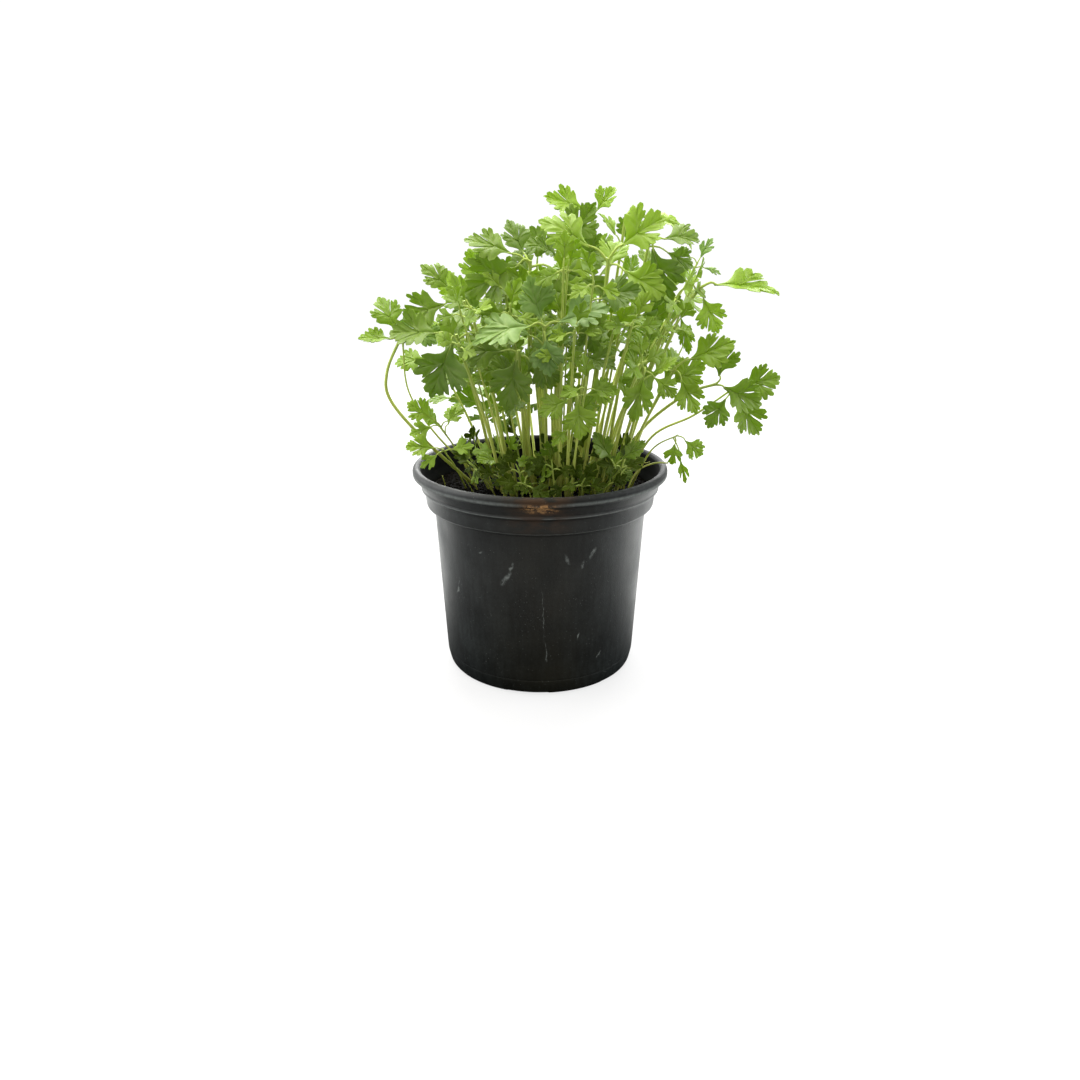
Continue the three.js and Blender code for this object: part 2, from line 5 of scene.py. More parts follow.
import bpy
import numpy as np
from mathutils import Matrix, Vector


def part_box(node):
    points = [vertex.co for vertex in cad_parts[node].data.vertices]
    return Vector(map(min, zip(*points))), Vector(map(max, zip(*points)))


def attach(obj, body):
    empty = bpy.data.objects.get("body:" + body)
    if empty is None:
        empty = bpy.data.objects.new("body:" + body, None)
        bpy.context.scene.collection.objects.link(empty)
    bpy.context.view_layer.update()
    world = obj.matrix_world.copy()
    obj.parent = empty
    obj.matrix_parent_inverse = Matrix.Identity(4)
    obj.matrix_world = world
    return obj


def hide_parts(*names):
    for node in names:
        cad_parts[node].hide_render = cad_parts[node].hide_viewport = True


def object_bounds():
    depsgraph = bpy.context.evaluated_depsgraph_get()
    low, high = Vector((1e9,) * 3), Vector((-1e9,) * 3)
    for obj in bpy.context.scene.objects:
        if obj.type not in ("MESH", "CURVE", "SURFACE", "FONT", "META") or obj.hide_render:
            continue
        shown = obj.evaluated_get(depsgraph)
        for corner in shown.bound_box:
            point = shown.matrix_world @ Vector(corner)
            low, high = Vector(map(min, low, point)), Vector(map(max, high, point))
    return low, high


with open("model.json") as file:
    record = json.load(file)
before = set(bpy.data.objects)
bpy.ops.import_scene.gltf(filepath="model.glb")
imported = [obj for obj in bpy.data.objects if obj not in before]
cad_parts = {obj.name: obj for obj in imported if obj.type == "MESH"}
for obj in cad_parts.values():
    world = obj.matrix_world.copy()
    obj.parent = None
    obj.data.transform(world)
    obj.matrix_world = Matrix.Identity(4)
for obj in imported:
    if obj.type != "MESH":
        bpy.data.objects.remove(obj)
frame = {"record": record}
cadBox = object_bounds()
mm = 0.001
slotOf = {part["node"]: part["material_slot"] for part in frame["record"]["subparts"]}


# Shared helpers

def colour(hexText):  # an sRGB hex value as linear RGBA
    channels = [int(hexText[i:i + 2], 16) / 255 for i in (1, 3, 5)]
    return [c / 12.92 if c <= 0.04045 else ((c + 0.055) / 1.055) ** 2.4 for c in channels] + [1.0]


def addNode(tree, kind, inputs=(), **settings):
    # kind is the node's type, for a shader node without ShaderNode in front; inputs go by name, or in a list
    # in the order of the live sockets; a node stands for its first live output
    node = tree.nodes.new(kind if "Node" in kind else "ShaderNode" + kind)
    for name, value in settings.items():
        setattr(node, name, value)
    live = [socket for socket in node.inputs if socket.enabled]
    for key, value in inputs.items() if isinstance(inputs, dict) else enumerate(inputs):
        socket = live[key] if isinstance(key, int) else next(s for s in live if s.name == key)
        if isinstance(value, bpy.types.Node):
            value = next(s for s in value.outputs if s.enabled)
        if isinstance(value, bpy.types.NodeSocket):
            tree.links.new(value, socket)
        else:
            socket.default_value = value
    return node


smoothly = {"interpolation_type": "SMOOTHSTEP"}
inColour = {"data_type": "RGBA"}


def newMaterial(name):  # a material without nodes, and the function that adds one to it
    material = bpy.data.materials.new(name)
    material.use_nodes = True
    material.node_tree.nodes.clear()
    return material, partial(addNode, material.node_tree)


def newPiece(name, mesh, replaced=()):
    piece = bpy.data.objects.new(name, mesh)
    bpy.context.collection.objects.link(piece)
    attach(piece, "root")
    if replaced:
        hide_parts(*replaced)


def meshFrom(name, points, faces, edges=()):
    mesh = bpy.data.meshes.new(name)
    mesh.from_pydata(np.asarray(points).tolist(), [list(e) for e in edges], [list(f) for f in faces])
    mesh.polygons.foreach_set("use_smooth", [True] * len(mesh.polygons))
    return mesh


def floats(mesh, name, values):  # a number for each point
    mesh.attributes.new(name, "FLOAT", "POINT").data.foreach_set("value", np.asarray(values, np.float32))


def baked(name, mesh, tree, values):
    # runs a node group on a mesh with its named inputs set, and returns the plain mesh
    holder = bpy.data.objects.new(name, mesh)
    bpy.context.collection.objects.link(holder)
    modifier = holder.modifiers.new(tree.name, "NODES")
    modifier.node_group = tree
    for item in tree.interface.items_tree:
        if item.item_type == "SOCKET" and item.in_out == "INPUT" and item.name in values:
            modifier[item.identifier] = values[item.name]
    graph = bpy.context.evaluated_depsgraph_get()
    result = bpy.data.meshes.new_from_object(holder.evaluated_get(graph), depsgraph=graph)
    result.name = name
    holder.modifiers.clear()
    bpy.data.objects.remove(holder)
    return result


def newTree(name, sockets):
    # a geometry node group with inputs (name, kind, default), the function that adds to it, its input node
    tree = bpy.data.node_groups.new(name, "GeometryNodeTree")
    tree.interface.new_socket("Geometry", in_out="INPUT", socket_type="NodeSocketGeometry")
    for socketName, kind, default in sockets:
        socket = tree.interface.new_socket(socketName, in_out="INPUT", socket_type=kind)
        if default is not None:
            socket.default_value = default
    tree.interface.new_socket("Geometry", in_out="OUTPUT", socket_type="NodeSocketGeometry")
    add = partial(addNode, tree)
    return tree, add, add("NodeGroupInput")


# Camera, floor and light

view = {"place": (0, -0.500, 0.253), "down": 19.6, "lens": 28.93, "sensor": 36, "nearest": 0.01}


def makeCamera():
    camera = bpy.data.objects.new("camera", bpy.data.cameras.new("camera"))
    bpy.context.collection.objects.link(camera)
    camera.location = view["place"]
    camera.rotation_euler = (math.radians(90 - view["down"]), 0, 0)
    camera.data.lens = view["lens"]
    camera.data.sensor_width = view["sensor"]
    camera.data.clip_start = view["nearest"]
    bpy.context.scene.camera = camera
    bpy.context.scene.view_settings.view_transform = "Standard"


studio = {
    "floor": "#585858", "glow": 0.74,    # as the camera sees it: grey with a glow, together just white
    "floorReach": 1.5, "floorSides": 96,
    "mirroredFront": "#474848", "mirroredBack": "#b9bbbb",   # as the pot mirrors it, before and behind
    "mirroredRange": (-0.02, 0.13),      # Y over which the one turns into the other
    "nearer": (0.25, 0.085),             # X at the right by which that turn has come this much nearer
    "front": 1.07, "back": 1.42,         # strength of the surrounding light before and behind the plant
    "skyRange": (-1.0, 0.6),             # Y of the sky over which the one turns into the other
    "seen": 1.05,                        # its strength as the camera sees it
    "aim": (0, 0, 0.15),
    # name: (place, width, watts, colour)
    "lamps": {
        "behind": ((0.1, 1.1, 0.9), 1.3, 35, "#ffffff"),
        "above": ((-0.2, 0.1, 1.3), 1.2, 32, "#fffdf6"),
        "left": ((-1.2, 0.1, 0.6), 0.8, 10, "#ffffff"),
        "right": ((1.2, 0.1, 0.6), 0.8, 12, "#ffffff"),
    },
}


def makeLight():
    world = bpy.data.worlds.new("studio")
    bpy.context.scene.world = world
    world.use_nodes = True
    world.node_tree.nodes.clear()
    add = partial(addNode, world.node_tree)
    sky = add("SeparateXYZ", [add("TexCoord").outputs["Generated"]])
    around = add("MapRange", [sky.outputs["Y"], *studio["skyRange"], studio["front"], studio["back"]],
                 **smoothly)
    strength = add("Mix", [add("LightPath").outputs["Is Camera Ray"], around, studio["seen"]])
    add("OutputWorld", [add("Background", {"Color": (1, 1, 1, 1), "Strength": strength})])

    for name, (place, width, watts, tint) in studio["lamps"].items():
        lamp = bpy.data.objects.new(name, bpy.data.lights.new(name, "AREA"))
        bpy.context.collection.objects.link(lamp)
        lamp.data.size = width
        lamp.data.energy = watts
        lamp.data.color = colour(tint)[:3]
        lamp.location = place
        lamp.rotation_euler = (Vector(studio["aim"]) - lamp.location).to_track_quat("-Z", "Y").to_euler()


def makeFloor():
    bpy.ops.mesh.primitive_circle_add(vertices=studio["floorSides"], radius=studio["floorReach"],
                                      fill_type="NGON")
    floor = bpy.context.object
    floor.name = "floor"
    material, add = newMaterial("matt white floor")
    cameraRay = add("LightPath").outputs["Is Camera Ray"]
    spot = add("SeparateXYZ", [add("TexCoord").outputs["Object"]])
    reach, shift = studio["nearer"]
    nearer = add("MapRange", [spot.outputs["X"], 0.0, reach, 0.0, shift])
    depth = add("Math", [spot.outputs["Y"], nearer], operation="ADD")
    depth = add("MapRange", [depth, *studio["mirroredRange"]], **smoothly)
    mirrored = add("Mix", [depth, colour(studio["mirroredFront"]), colour(studio["mirroredBack"])],
                   **inColour)
    tone = add("Mix", [cameraRay, mirrored, colour(studio["floor"])], **inColour)
    glow = add("Math", [cameraRay, studio["glow"]], operation="MULTIPLY")
    paint = add("BsdfPrincipled", {"Base Color": tone, "Roughness": 0.9, "Emission Color": (1, 1, 1, 1),
                                   "Emission Strength": glow})
    add("OutputMaterial", [paint])
    floor.data.materials.append(material)


# Pot: moulded black polypropylene

pot = {
    "profile": [  # radius, height, mm, from the underside's middle round the wall to the floor's middle
        (0, 0), (10.6, 0), (12.6, 1.6), (47, 1.6), (48.5, 0), (54.0, 0), (55.6, 0.6), (56.6, 2.2),
        (57.8, 7.5), (58.0, 9.2), (57.75, 9.6), (58.05, 10.0), (62.5, 92.6), (62.9, 97.0), (63.1, 99.4),
        (64.2, 100.1), (65.8, 100.8), (67.2, 101.4), (67.6, 102.3), (67.8, 104.2), (68.1, 108.2),
        (68.4, 109.6), (69.5, 110.3), (70.2, 110.9), (70.3, 111.8), (70.1, 112.6), (71.2, 114.7),
        (71.8, 116.2), (72.5, 117.9), (74.3, 118.5), (75.0, 119.3), (75.0, 121.6), (74.7, 122.6),
        (73.9, 123.6), (72.7, 124.0), (71.4, 123.6), (70.4, 122.2), (69.4, 119.4), (68.4, 113.2),
        (66.6, 109.2), (66.2, 105), (65.4, 103.2), (62.4, 100.8), (61.3, 98), (61.1, 94.6), (56.2, 8),
        (55.4, 5.2), (53.6, 3.6), (52.0, 3.4), (0, 3.4)],
    "sides": 192,
    "round": 0.35, "largest": 0.8,   # share of each corner's sides that is rounded off, and its most in mm
    "sharp": 38,                     # degrees between faces from which an edge stays sharp
    "shadedInside": (3.3, 122),              # heights between which the inside is darkened as painted shade
    "slots": (6, 12.0, 1.2, -97),    # count, half angle, height, turn
    "slotsFrom": 47.5,               # radius from which the slots cut the foot ring away
    "holes": (6, 30, 4.5, -67),      # count, ring radius, hole radius, turn
    "drill": (12, 2, 32),            # length, height of the middle, sides
    # the brown at the end of this line is a painted warm reflection over the rim; the bright tone after earth
    # on the next line is a painted glint under the lip
    "black": "#0c0e0e", "worn": "#1f2323", "dustAndEdgeLight": "#8c928e", "reflectionBrown": "#3a2818",
    # the pair of tones at the end of this line darken the pot's inside as painted shade
    "earth": "#1f1c12", "glintColour": "#eab070", "innerShade": ("#020302", "#060705"),
    # widths of the patterns in mm; the moulded grain is about 0.1 mm, and finer than 0.9 mm it wouldn't show
    "clouds": 20, "streaks": 2.2, "mottle": 2.4, "specks": 1.9, "speckled": 9, "patches": 5, "grain": 0.9,
    "innerShadePatches": 6,
    "wander": (5, 3),                # width of the noise that bends the scuffs, and how far it bends them
    # from where each mark starts to where it is full: distance from the middle, or height, in mm
    "front": -30,                    # Y that the scuffs and the painted reflection keep in front of
    "earthy": (50, 0), "reflectionAcross": (24, 2), "reflectionHeights": (97, 113),
    "glint": (117.6, 3.6, 0.8),      # height of the painted glint, reach above and below, and reach where it is full
    "glintAcross": (13, 2), "lip": (116, 121),
    "filmed": (-60, 0),              # X over which the lip gets a film of dried earth
    "shiny": (0, 70),                # heights over which the wall, rubbed dull at the foot, gets its shine
    "ledges": ((101.3, 0.9), (111.3, 0.6), (119.8, 1.7)),   # heights and breadths of edges that get a pale line: dust, and a painted highlight where the edge catches light
    "scuffs": [  # x and height in mm, slant in degrees, half width and half height in mm
        (-18.3, 74, 32, 1.7, 6.0), (-20.0, 71, 40, 2.2, 3.0), (-15.5, 80, 15, 1.3, 4.5),
        (28.8, 87, 26, 1.4, 4.4), (14.8, 85, -24, 1.1, 4.2), (23.7, 81, 5, 1.2, 3.0), (3.6, 28, -6, 0.6, 9),
        (1.8, 52, -2, 0.3, 20), (21.4, 37, 18, 0.7, 3.0), (-33, 87, 70, 0.8, 2.0), (-47, 60, 8, 0.45, 8),
        (34, 22, 30, 0.7, 2.6)],
}


def nearHeight(add, z, height, reach, full, most=1.0):
    # the share of a mark that runs round the wall at a height
    away = add("Math", [z, height * mm], operation="SUBTRACT")
    away = add("Math", [away], operation="ABSOLUTE")
    return add("MapRange", [away, reach * mm, full * mm, 0.0, most], **smoothly)


def wallDustAndEdgeLight(add, place, z, mottle):
    # specks of dust here and there, and a broken pale line along each edge of the wall, partly dust and
    # partly a painted highlight where the edge catches light
    speck = add("TexVoronoi", {"Vector": place, "Scale": 1 / (pot["specks"] * mm)}).outputs["Distance"]
    speck = add("MapRange", [speck, 0.17, 0.05], **smoothly)
    few = add("TexNoise", {"Vector": place, "Scale": 1 / (pot["speckled"] * mm), "Detail": 2.0})
    few = add("MapRange", [few, 0.42, 0.7, 0.0, 0.65])
    dustAndEdgeLight = add("Math", [speck, few], operation="MULTIPLY")
    for height, breadth in pot["ledges"]:
        line = nearHeight(add, z, height, breadth, 0.1, 1.3)
        line = add("Math", [line, mottle], operation="MULTIPLY")
        dustAndEdgeLight = add("Math", [dustAndEdgeLight, line], operation="MAXIMUM")
    return dustAndEdgeLight


def wallScuffs(add, place, mottle):
    # pale broken scratches where the pot was rubbed, each a thin slanted ellipse bent by noise
    width, most = pot["wander"]
    wander = add("TexNoise", {"Vector": place, "Scale": 1 / (width * mm), "Detail": 3.0})
    wander = add("VectorMath", [wander.outputs["Color"], (0.5, 0.5, 0.5)], operation="SUBTRACT")
    bent = add("VectorMath", [wander, (most * mm, most * mm, most * mm), place], operation="MULTIPLY_ADD")
    scuffs = 0.0
    for middle, height, slant, wide, tall in pot["scuffs"]:
        turned = add("Mapping", {"Vector": bent, "Location": (middle * mm, 0, height * mm),
                                 "Rotation": (0, math.radians(slant), 0),
                                 "Scale": (wide * mm, 1, tall * mm)}, vector_type="TEXTURE")
        reach = add("VectorMath", [turned], operation="LENGTH")
        mark = add("MapRange", [reach, 1.0, 0.2], **smoothly)
        scuffs = add("Math", [scuffs, mark], operation="MAXIMUM")
    broken = add("MapRange", [mottle, 0.34, 0.64], **smoothly)
    return add("Math", [scuffs, broken], operation="MULTIPLY")


def potPlastic():
    # Polypropylene, injection moulded: a satin charcoal, clouded by dust and earth and scuffed from handling,
    # with pale edge lines that are partly painted highlights, and a painted warm reflection and glint at the
    # front of the rim
    material, add = newMaterial("moulded black polypropylene")
    place = add("TexCoord").outputs["Object"]
    x, y, z = add("SeparateXYZ", [place]).outputs
    upright = add("Mapping", {"Vector": place, "Scale": (1, 1, 0.12)})
    clouds = add("TexNoise", {"Vector": place, "Scale": 1 / (pot["clouds"] * mm), "Detail": 5.0})
    streaks = add("TexNoise", {"Vector": upright, "Scale": 1 / (pot["streaks"] * mm), "Detail": 4.0})
    mottle = add("TexNoise", {"Vector": place, "Scale": 1 / (pot["mottle"] * mm), "Detail": 5.0,
                              "Roughness": 0.75})
    grime = add("Math", [streaks, mottle], operation="MULTIPLY")
    grime = add("Math", [grime, clouds, -0.05], operation="MULTIPLY_ADD")
    grime = add("MapRange", [grime, 0.0, 0.16])
    base = add("Mix", [grime, colour(pot["black"]), colour(pot["worn"])], **inColour)

    fromMiddle = add("Math", [x], operation="ABSOLUTE")
    across, reflectionSpan, glinting = (add("MapRange", [fromMiddle, *(reach * mm for reach in pot[mark])],
                                     **smoothly) for mark in ("earthy", "reflectionAcross", "glintAcross"))
    upwards, lip = (add("MapRange", [z, *(height * mm for height in pot[mark])], **smoothly)
                    for mark in ("reflectionHeights", "lip"))
    front = add("Math", [y, pot["front"] * mm], operation="LESS_THAN")
    earthy = add("Math", [across, clouds], operation="MULTIPLY")
    base = add("Mix", [earthy, base, colour(pot["earth"])], **inColour)

    scuffs = add("Math", [wallScuffs(add, place, mottle), front], operation="MULTIPLY")
    dustAndEdgeLight = add("Math", [wallDustAndEdgeLight(add, place, z, mottle), scuffs], operation="MAXIMUM")
    dustAndEdgeLight = add("Math", [dustAndEdgeLight, 0.5], operation="MULTIPLY")
    # pale where there is dust or a scuff, and along the edges, where the pale line is partly a painted
    # highlight
    base = add("Mix", [dustAndEdgeLight, base, colour(pot["dustAndEdgeLight"])], **inColour)

    # A brown patch over the rim at the front, which is a painted warm reflection, with a bright painted glint
    # under the lip
    wide = add("Mapping", {"Vector": place, "Scale": (0.45, 1, 1.3)})
    patchy = add("TexNoise", {"Vector": wide, "Scale": 1 / (pot["patches"] * mm), "Detail": 4.0})
    warmReflection = add("MapRange", [patchy, 0.33, 0.58, 0.0, 0.9], **smoothly)
    for share in (reflectionSpan, upwards, front):
        warmReflection = add("Math", [warmReflection, share], operation="MULTIPLY")
    base = add("Mix", [warmReflection, base, colour(pot["reflectionBrown"])], **inColour)
    glint = add("MapRange", [mottle, 0.42, 0.56], **smoothly)
    for share in (nearHeight(add, z, *pot["glint"]), warmReflection, glinting):
        glint = add("Math", [glint, share], operation="MULTIPLY")
    base = add("Mix", [glint, base, colour(pot["glintColour"])], **inColour)

    roughness = add("MapRange", [clouds, 0.3, 0.7, 0.36, 0.52])
    roughness = add("Math", [lip, 0.15, roughness], operation="MULTIPLY_ADD")
    low, high = pot["shiny"]
    shine = add("MapRange", [z, low * mm, high * mm, 0.0, 0.5])
    left, right = pot["filmed"]
    filmed = add("MapRange", [x, left * mm, right * mm], **smoothly)
    filmed = add("Math", [filmed, lip], operation="MULTIPLY")
    shine = add("Mix", [filmed, shine, 0.12])
    grain = add("TexNoise", {"Vector": place, "Scale": 1 / (pot["grain"] * mm), "Detail": 3.0})
    bump = add("Bump", {"Strength": 0.5, "Distance": 0.12 * mm, "Height": grain})
    bump = add("Bump", {"Strength": 0.3, "Distance": 0.25 * mm, "Height": clouds, "Normal": bump})
    surface = add("BsdfPrincipled", {"Base Color": base, "Roughness": roughness, "IOR": 1.49,
                                     "Specular IOR Level": shine, "Normal": bump})
    add("OutputMaterial", [surface])
    return material


def shadedInsidePlastic():
    # The same plastic inside, darkened to almost black as painted shade inside the pot, and it hardly shines
    material, add = newMaterial("polypropylene in painted shade")
    place = add("TexCoord").outputs["Object"]
    patches = add("TexNoise", {"Vector": place, "Scale": 1 / (pot["innerShadePatches"] * mm), "Detail": 4.0})
    innerShade = add("MapRange", [patches, 0.4, 0.7], **smoothly)
    innerShade = add("Mix", [innerShade, *(colour(tone) for tone in pot["innerShade"])], **inColour)
    surface = add("BsdfPrincipled", {"Base Color": innerShade, "Roughness": 0.75, "IOR": 1.49,
                                     "Specular IOR Level": 0.05})
    add("OutputMaterial", [surface])
    return material


def roundedProfile(points, share, largest):
    # cuts each corner with a short arc of three points
    rows = [points[0]]
    for before, corner, after in zip(points, points[1:], points[2:]):
        before, corner, after = np.array(before, float), np.array(corner, float), np.array(after, float)
        start, end = (corner + (other - corner) * min(share, largest / np.linalg.norm(other - corner))
                      for other in (before, after))
        rows += [start, 0.25 * start + 0.5 * corner + 0.25 * end, end]
    return np.array(rows + [points[-1]], float)


def turnedMesh(name, profile, sides):
    # a closed body turned about the Z axis, in metres; the profile starts and ends on the axis
    angles = np.arange(sides) * 2 * math.pi / sides
    ring = profile[1:-1]
    points = [[0, 0, profile[0][1]], [0, 0, profile[-1][1]]]
    for angle in angles:
        points += [[r * math.cos(angle), r * math.sin(angle), z] for r, z in ring]
    rows = len(ring)
    faces = []
    for i in range(sides):
        a, b = 2 + i * rows, 2 + (i + 1) % sides * rows
        faces.append((0, b, a))
        faces.append((1, a + rows - 1, b + rows - 1))
        faces += [(a + k, b + k, b + k + 1, a + k + 1) for k in range(rows - 1)]
    return meshFrom(name, np.array(points) * mm, faces)


def cutSlots(mesh):
    # the foot ring is cut away at the drain slots
    count, halfAngle, height, turn = pot["slots"]
    apart = 360 / count
    for vertex in mesh.vertices:
        x, y, z = vertex.co / mm
        angle = (math.degrees(math.atan2(y, x)) - turn) % apart
        if math.hypot(x, y) > pot["slotsFrom"] and z < height and min(angle, apart - angle) < halfAngle:
            vertex.co.z = height * mm


def drilled(mesh):
    # the same body with its drain holes
    holder = bpy.data.objects.new("potBody", mesh)
    bpy.context.collection.objects.link(holder)
    count, ring, radius, turn = pot["holes"]
    length, middle, sides = pot["drill"]
    drills = []
    for i in range(count):
        angle = math.radians(turn + i * 360 / count)
        spot = (ring * mm * math.cos(angle), ring * mm * math.sin(angle), middle * mm)
        bpy.ops.mesh.primitive_cylinder_add(vertices=sides, radius=radius * mm, depth=length * mm,
                                            location=spot)
        drills.append(bpy.context.object)
        cut = holder.modifiers.new(f"drain {i}", "BOOLEAN")
        cut.operation, cut.object, cut.solver = "DIFFERENCE", drills[-1], "EXACT"
    graph = bpy.context.evaluated_depsgraph_get()
    body = bpy.data.meshes.new_from_object(holder.evaluated_get(graph), depsgraph=graph)
    for spare in (holder, *drills):
        bpy.data.objects.remove(spare)
    return body


def makePot():
    mesh = turnedMesh("pot", roundedProfile(pot["profile"], pot["round"], pot["largest"]), pot["sides"])
    cutSlots(mesh)
    body = drilled(mesh)
    body.name = "nursery_pot"
    body.set_sharp_from_angle(angle=math.radians(pot["sharp"]))
    body.materials.clear()
    body.materials.append(potPlastic())
    body.materials.append(shadedInsidePlastic())
    low, high = (height * mm for height in pot["shadedInside"])
    for face in body.polygons:
        facesIn = face.normal.xy.dot(face.center.xy) < 0
        face.material_index = int(facesIn and low < face.center.z < high)
    newPiece("nursery_pot", body, ["pot"])
    print("pot:", len(body.polygons), "faces")


# Soil: moist peat compost

soil = {
    "top": 109, "dome": 1.4, "radius": 64, "gap": 0.35,
    # radius and height of the side's corners, mm, of which the two at the bottom are raised by the gap
    "side": [(0, 3.75), (53.2, 3.75), (56.2, 8.1), (61.1, 94.8), (61.3, 98.2), (62.4, 101), (65.4, 103.4),
             (66.2, 105.2)],
    "brim": (0.1, 0.9),              # how far the surface's edge stands out from the side, and hangs
    "sides": 120, "rings": 34,
    "faceFrom": 105.6, "lump": 1.5, "lumpWidth": 7, "lumpSink": 0.62,   # relief above that height
    "crumbs": 280000.0, "crumbSize": 0.85,      # for each square metre, and their middle size in mm
    "grains": 1.4, "patches": 9,                # widths of the colour's patterns
    # these tones are darker than moist peat: the peat's own dark colour with painted shade under the leaves
    "dark": "#020202", "mid": "#080604", "fibre": "#1a160e",
}


def soilFace(x, y):
    return soil["top"] + soil["dome"] * (1 - (x * x + y * y) / soil["radius"] ** 2)


def peat(name, dark, light):
    # Peat compost, crumbled and moist: dark of itself and darkened further to near black as painted shade
    # under the leaves, with brown fibres and no shine
    material, add = newMaterial(name)
    place = add("TexCoord").outputs["Object"]
    grains = add("TexNoise", {"Vector": place, "Scale": 1 / (soil["grains"] * mm), "Detail": 5.0,
                              "Roughness": 0.7})
    patches = add("TexNoise", {"Vector": place, "Scale": 1 / (soil["patches"] * mm), "Detail": 3.0})
    share = add("MapRange", [grains, 0.4, 0.72], **smoothly)
    base = add("Mix", [share, colour(dark), colour(light)], **inColour)
    share = add("MapRange", [patches, 0.3, 0.75, 0.0, 0.55], **smoothly)
    base = add("Mix", [share, base, colour(dark)], **inColour)
    bump = add("Bump", {"Strength": 0.8, "Distance": 0.4 * mm, "Height": grains})
    surface = add("BsdfPrincipled", {"Base Color": base, "Roughness": 0.92, "Normal": bump,
                                     "Specular IOR Level": 0.05})
    add("OutputMaterial", [surface])
    return material


def crumbTree():
    # lumps the top of the soil and scatters crumbs over it
    tree, add, given = newTree("scatteredCrumbs", [
        ("Density", "NodeSocketFloat", 20000.0), ("Size", "NodeSocketFloat", 0.001),
        ("Lump height", "NodeSocketFloat", 0.001), ("Seed", "NodeSocketInt", 3),
        ("Crumb material", "NodeSocketMaterial", None)])
    place = add("GeometryNodeInputPosition")
    height = add("SeparateXYZ", [place]).outputs["Z"]
    isTop = add("Math", [height, soil["faceFrom"] * mm], operation="GREATER_THAN")
    lumps = add("TexNoise", {"Vector": place, "Scale": 1 / (soil["lumpWidth"] * mm), "Detail": 5.0,
                             "Roughness": 0.62})
    rise = add("Math", [lumps, soil["lumpSink"]], operation="SUBTRACT")
    for share in (given.outputs["Lump height"], 2.4, isTop):
        rise = add("Math", [rise, share], operation="MULTIPLY")
    offset = add("CombineXYZ", {"Z": rise})
    lumped = add("GeometryNodeSetPosition", {"Geometry": given.outputs["Geometry"], "Offset": offset})

    spots = add("GeometryNodeDistributePointsOnFaces", {"Mesh": lumped, "Selection": isTop,
                                                        "Density": given.outputs["Density"],
                                                        "Seed": given.outputs["Seed"]})
    ball = add("GeometryNodeMeshIcoSphere", {"Radius": 0.5, "Subdivisions": 1})
    dents = add("TexNoise", {"Scale": 1.6, "Detail": 2.0})
    dents = add("Math", [dents, 0.5], operation="SUBTRACT")
    push = add("VectorMath", [add("GeometryNodeInputNormal"), dents], operation="SCALE")
    crumb = add("GeometryNodeSetPosition", {"Geometry": ball, "Offset": push})
    crumb = add("GeometryNodeSetShadeSmooth", {"Geometry": crumb})
    crumb = add("GeometryNodeStoreNamedAttribute", {"Geometry": crumb, "Name": "isCrumb", "Value": True},
                data_type="BOOLEAN")
    turn = add("FunctionNodeRandomValue", {"Max": (6.3, 6.3, 6.3), "Seed": 5}, data_type="FLOAT_VECTOR")
    squash = add("FunctionNodeRandomValue", {"Min": (0.35, 0.35, 0.25), "Max": (1.5, 1.2, 0.9), "Seed": 8},
                 data_type="FLOAT_VECTOR")
    sized = add("VectorMath", [squash, given.outputs["Size"]], operation="SCALE")
    crumbs = add("GeometryNodeInstanceOnPoints", {"Points": spots.outputs["Points"], "Instance": crumb,
                                                  "Rotation": turn, "Scale": sized})
    both = add("GeometryNodeJoinGeometry")
    for source in (crumbs, lumped):
        tree.links.new(source.outputs[0], both.inputs[0])
    real = add("GeometryNodeRealizeInstances", [both])
    isCrumb = add("GeometryNodeInputNamedAttribute", {"Name": "isCrumb"}, data_type="BOOLEAN")
    dressed = add("GeometryNodeSetMaterial", [real, isCrumb, given.outputs["Crumb material"]])
    add("NodeGroupOutput", [dressed])
    return tree


def makeSoil():
    side = [(max(r - soil["gap"], 0), z) for r, z in soil["side"]]
    out, down = soil["brim"]
    rim = side[-1][0] + out
    inner = [rim * math.sqrt(1 - i / soil["rings"]) for i in range(1, soil["rings"])] + [0]
    top = [(rim, soilFace(rim, 0) - down)] + [(r, soilFace(r, 0)) for r in inner]
    mesh = turnedMesh("soilBody", np.array(side + top), soil["sides"])
    mesh.materials.append(peat("moist peat", soil["dark"], soil["mid"]))
    mesh = baked("compost", mesh, crumbTree(), {"Density": soil["crumbs"],
                                                "Size": 2 * soil["crumbSize"] * mm,
                                                "Lump height": soil["lump"] * mm, "Seed": 3,
                                                "Crumb material": peat("peat crumbs", soil["mid"],
                                                                       soil["fibre"])})
    newPiece("compost", mesh, ["soil"])
    print("soil:", len(mesh.polygons), "faces")


# Where the fronds stand: the same plans, rules and seeded draws as the solids, in millimetres

layout = {
    "seed": 31, "rootDepth": 8, "leafRoom": 1.95, "stalkRoom": 1.75, "step": 0.12,
    "rimInside": 62, "rimOutside": 79, "rimTop": 127,    # no leaf comes closer to the pot's lip
    "overSoil": 3.5, "farthest": 4,                      # least height over the soil, widest gap looked at
    "lineStep": 2.5, "leafStep": 2.6,                    # between points that stand for stalk and for leaf
    "tries": 60, "ruleTries": 4, "plans": 600,           # for a listed frond, for one by rule, plans by rule
    "hidden": 5, "low": 7, "eye": (0, -500, 253)}
up = np.array([0.0, 0.0, 1.0])
drawn = {"state": layout["seed"]}
taken = {"points": np.zeros((0, 3)), "rooms": np.zeros(0)}


def draw():
    drawn["state"] = (drawn["state"] * 1664525 + 1013904223) % 4294967296
    return drawn["state"] / 4294967296


def between(low, high):
    return low + (high - low) * draw()


def unit(vector):
    return vector / np.linalg.norm(vector)


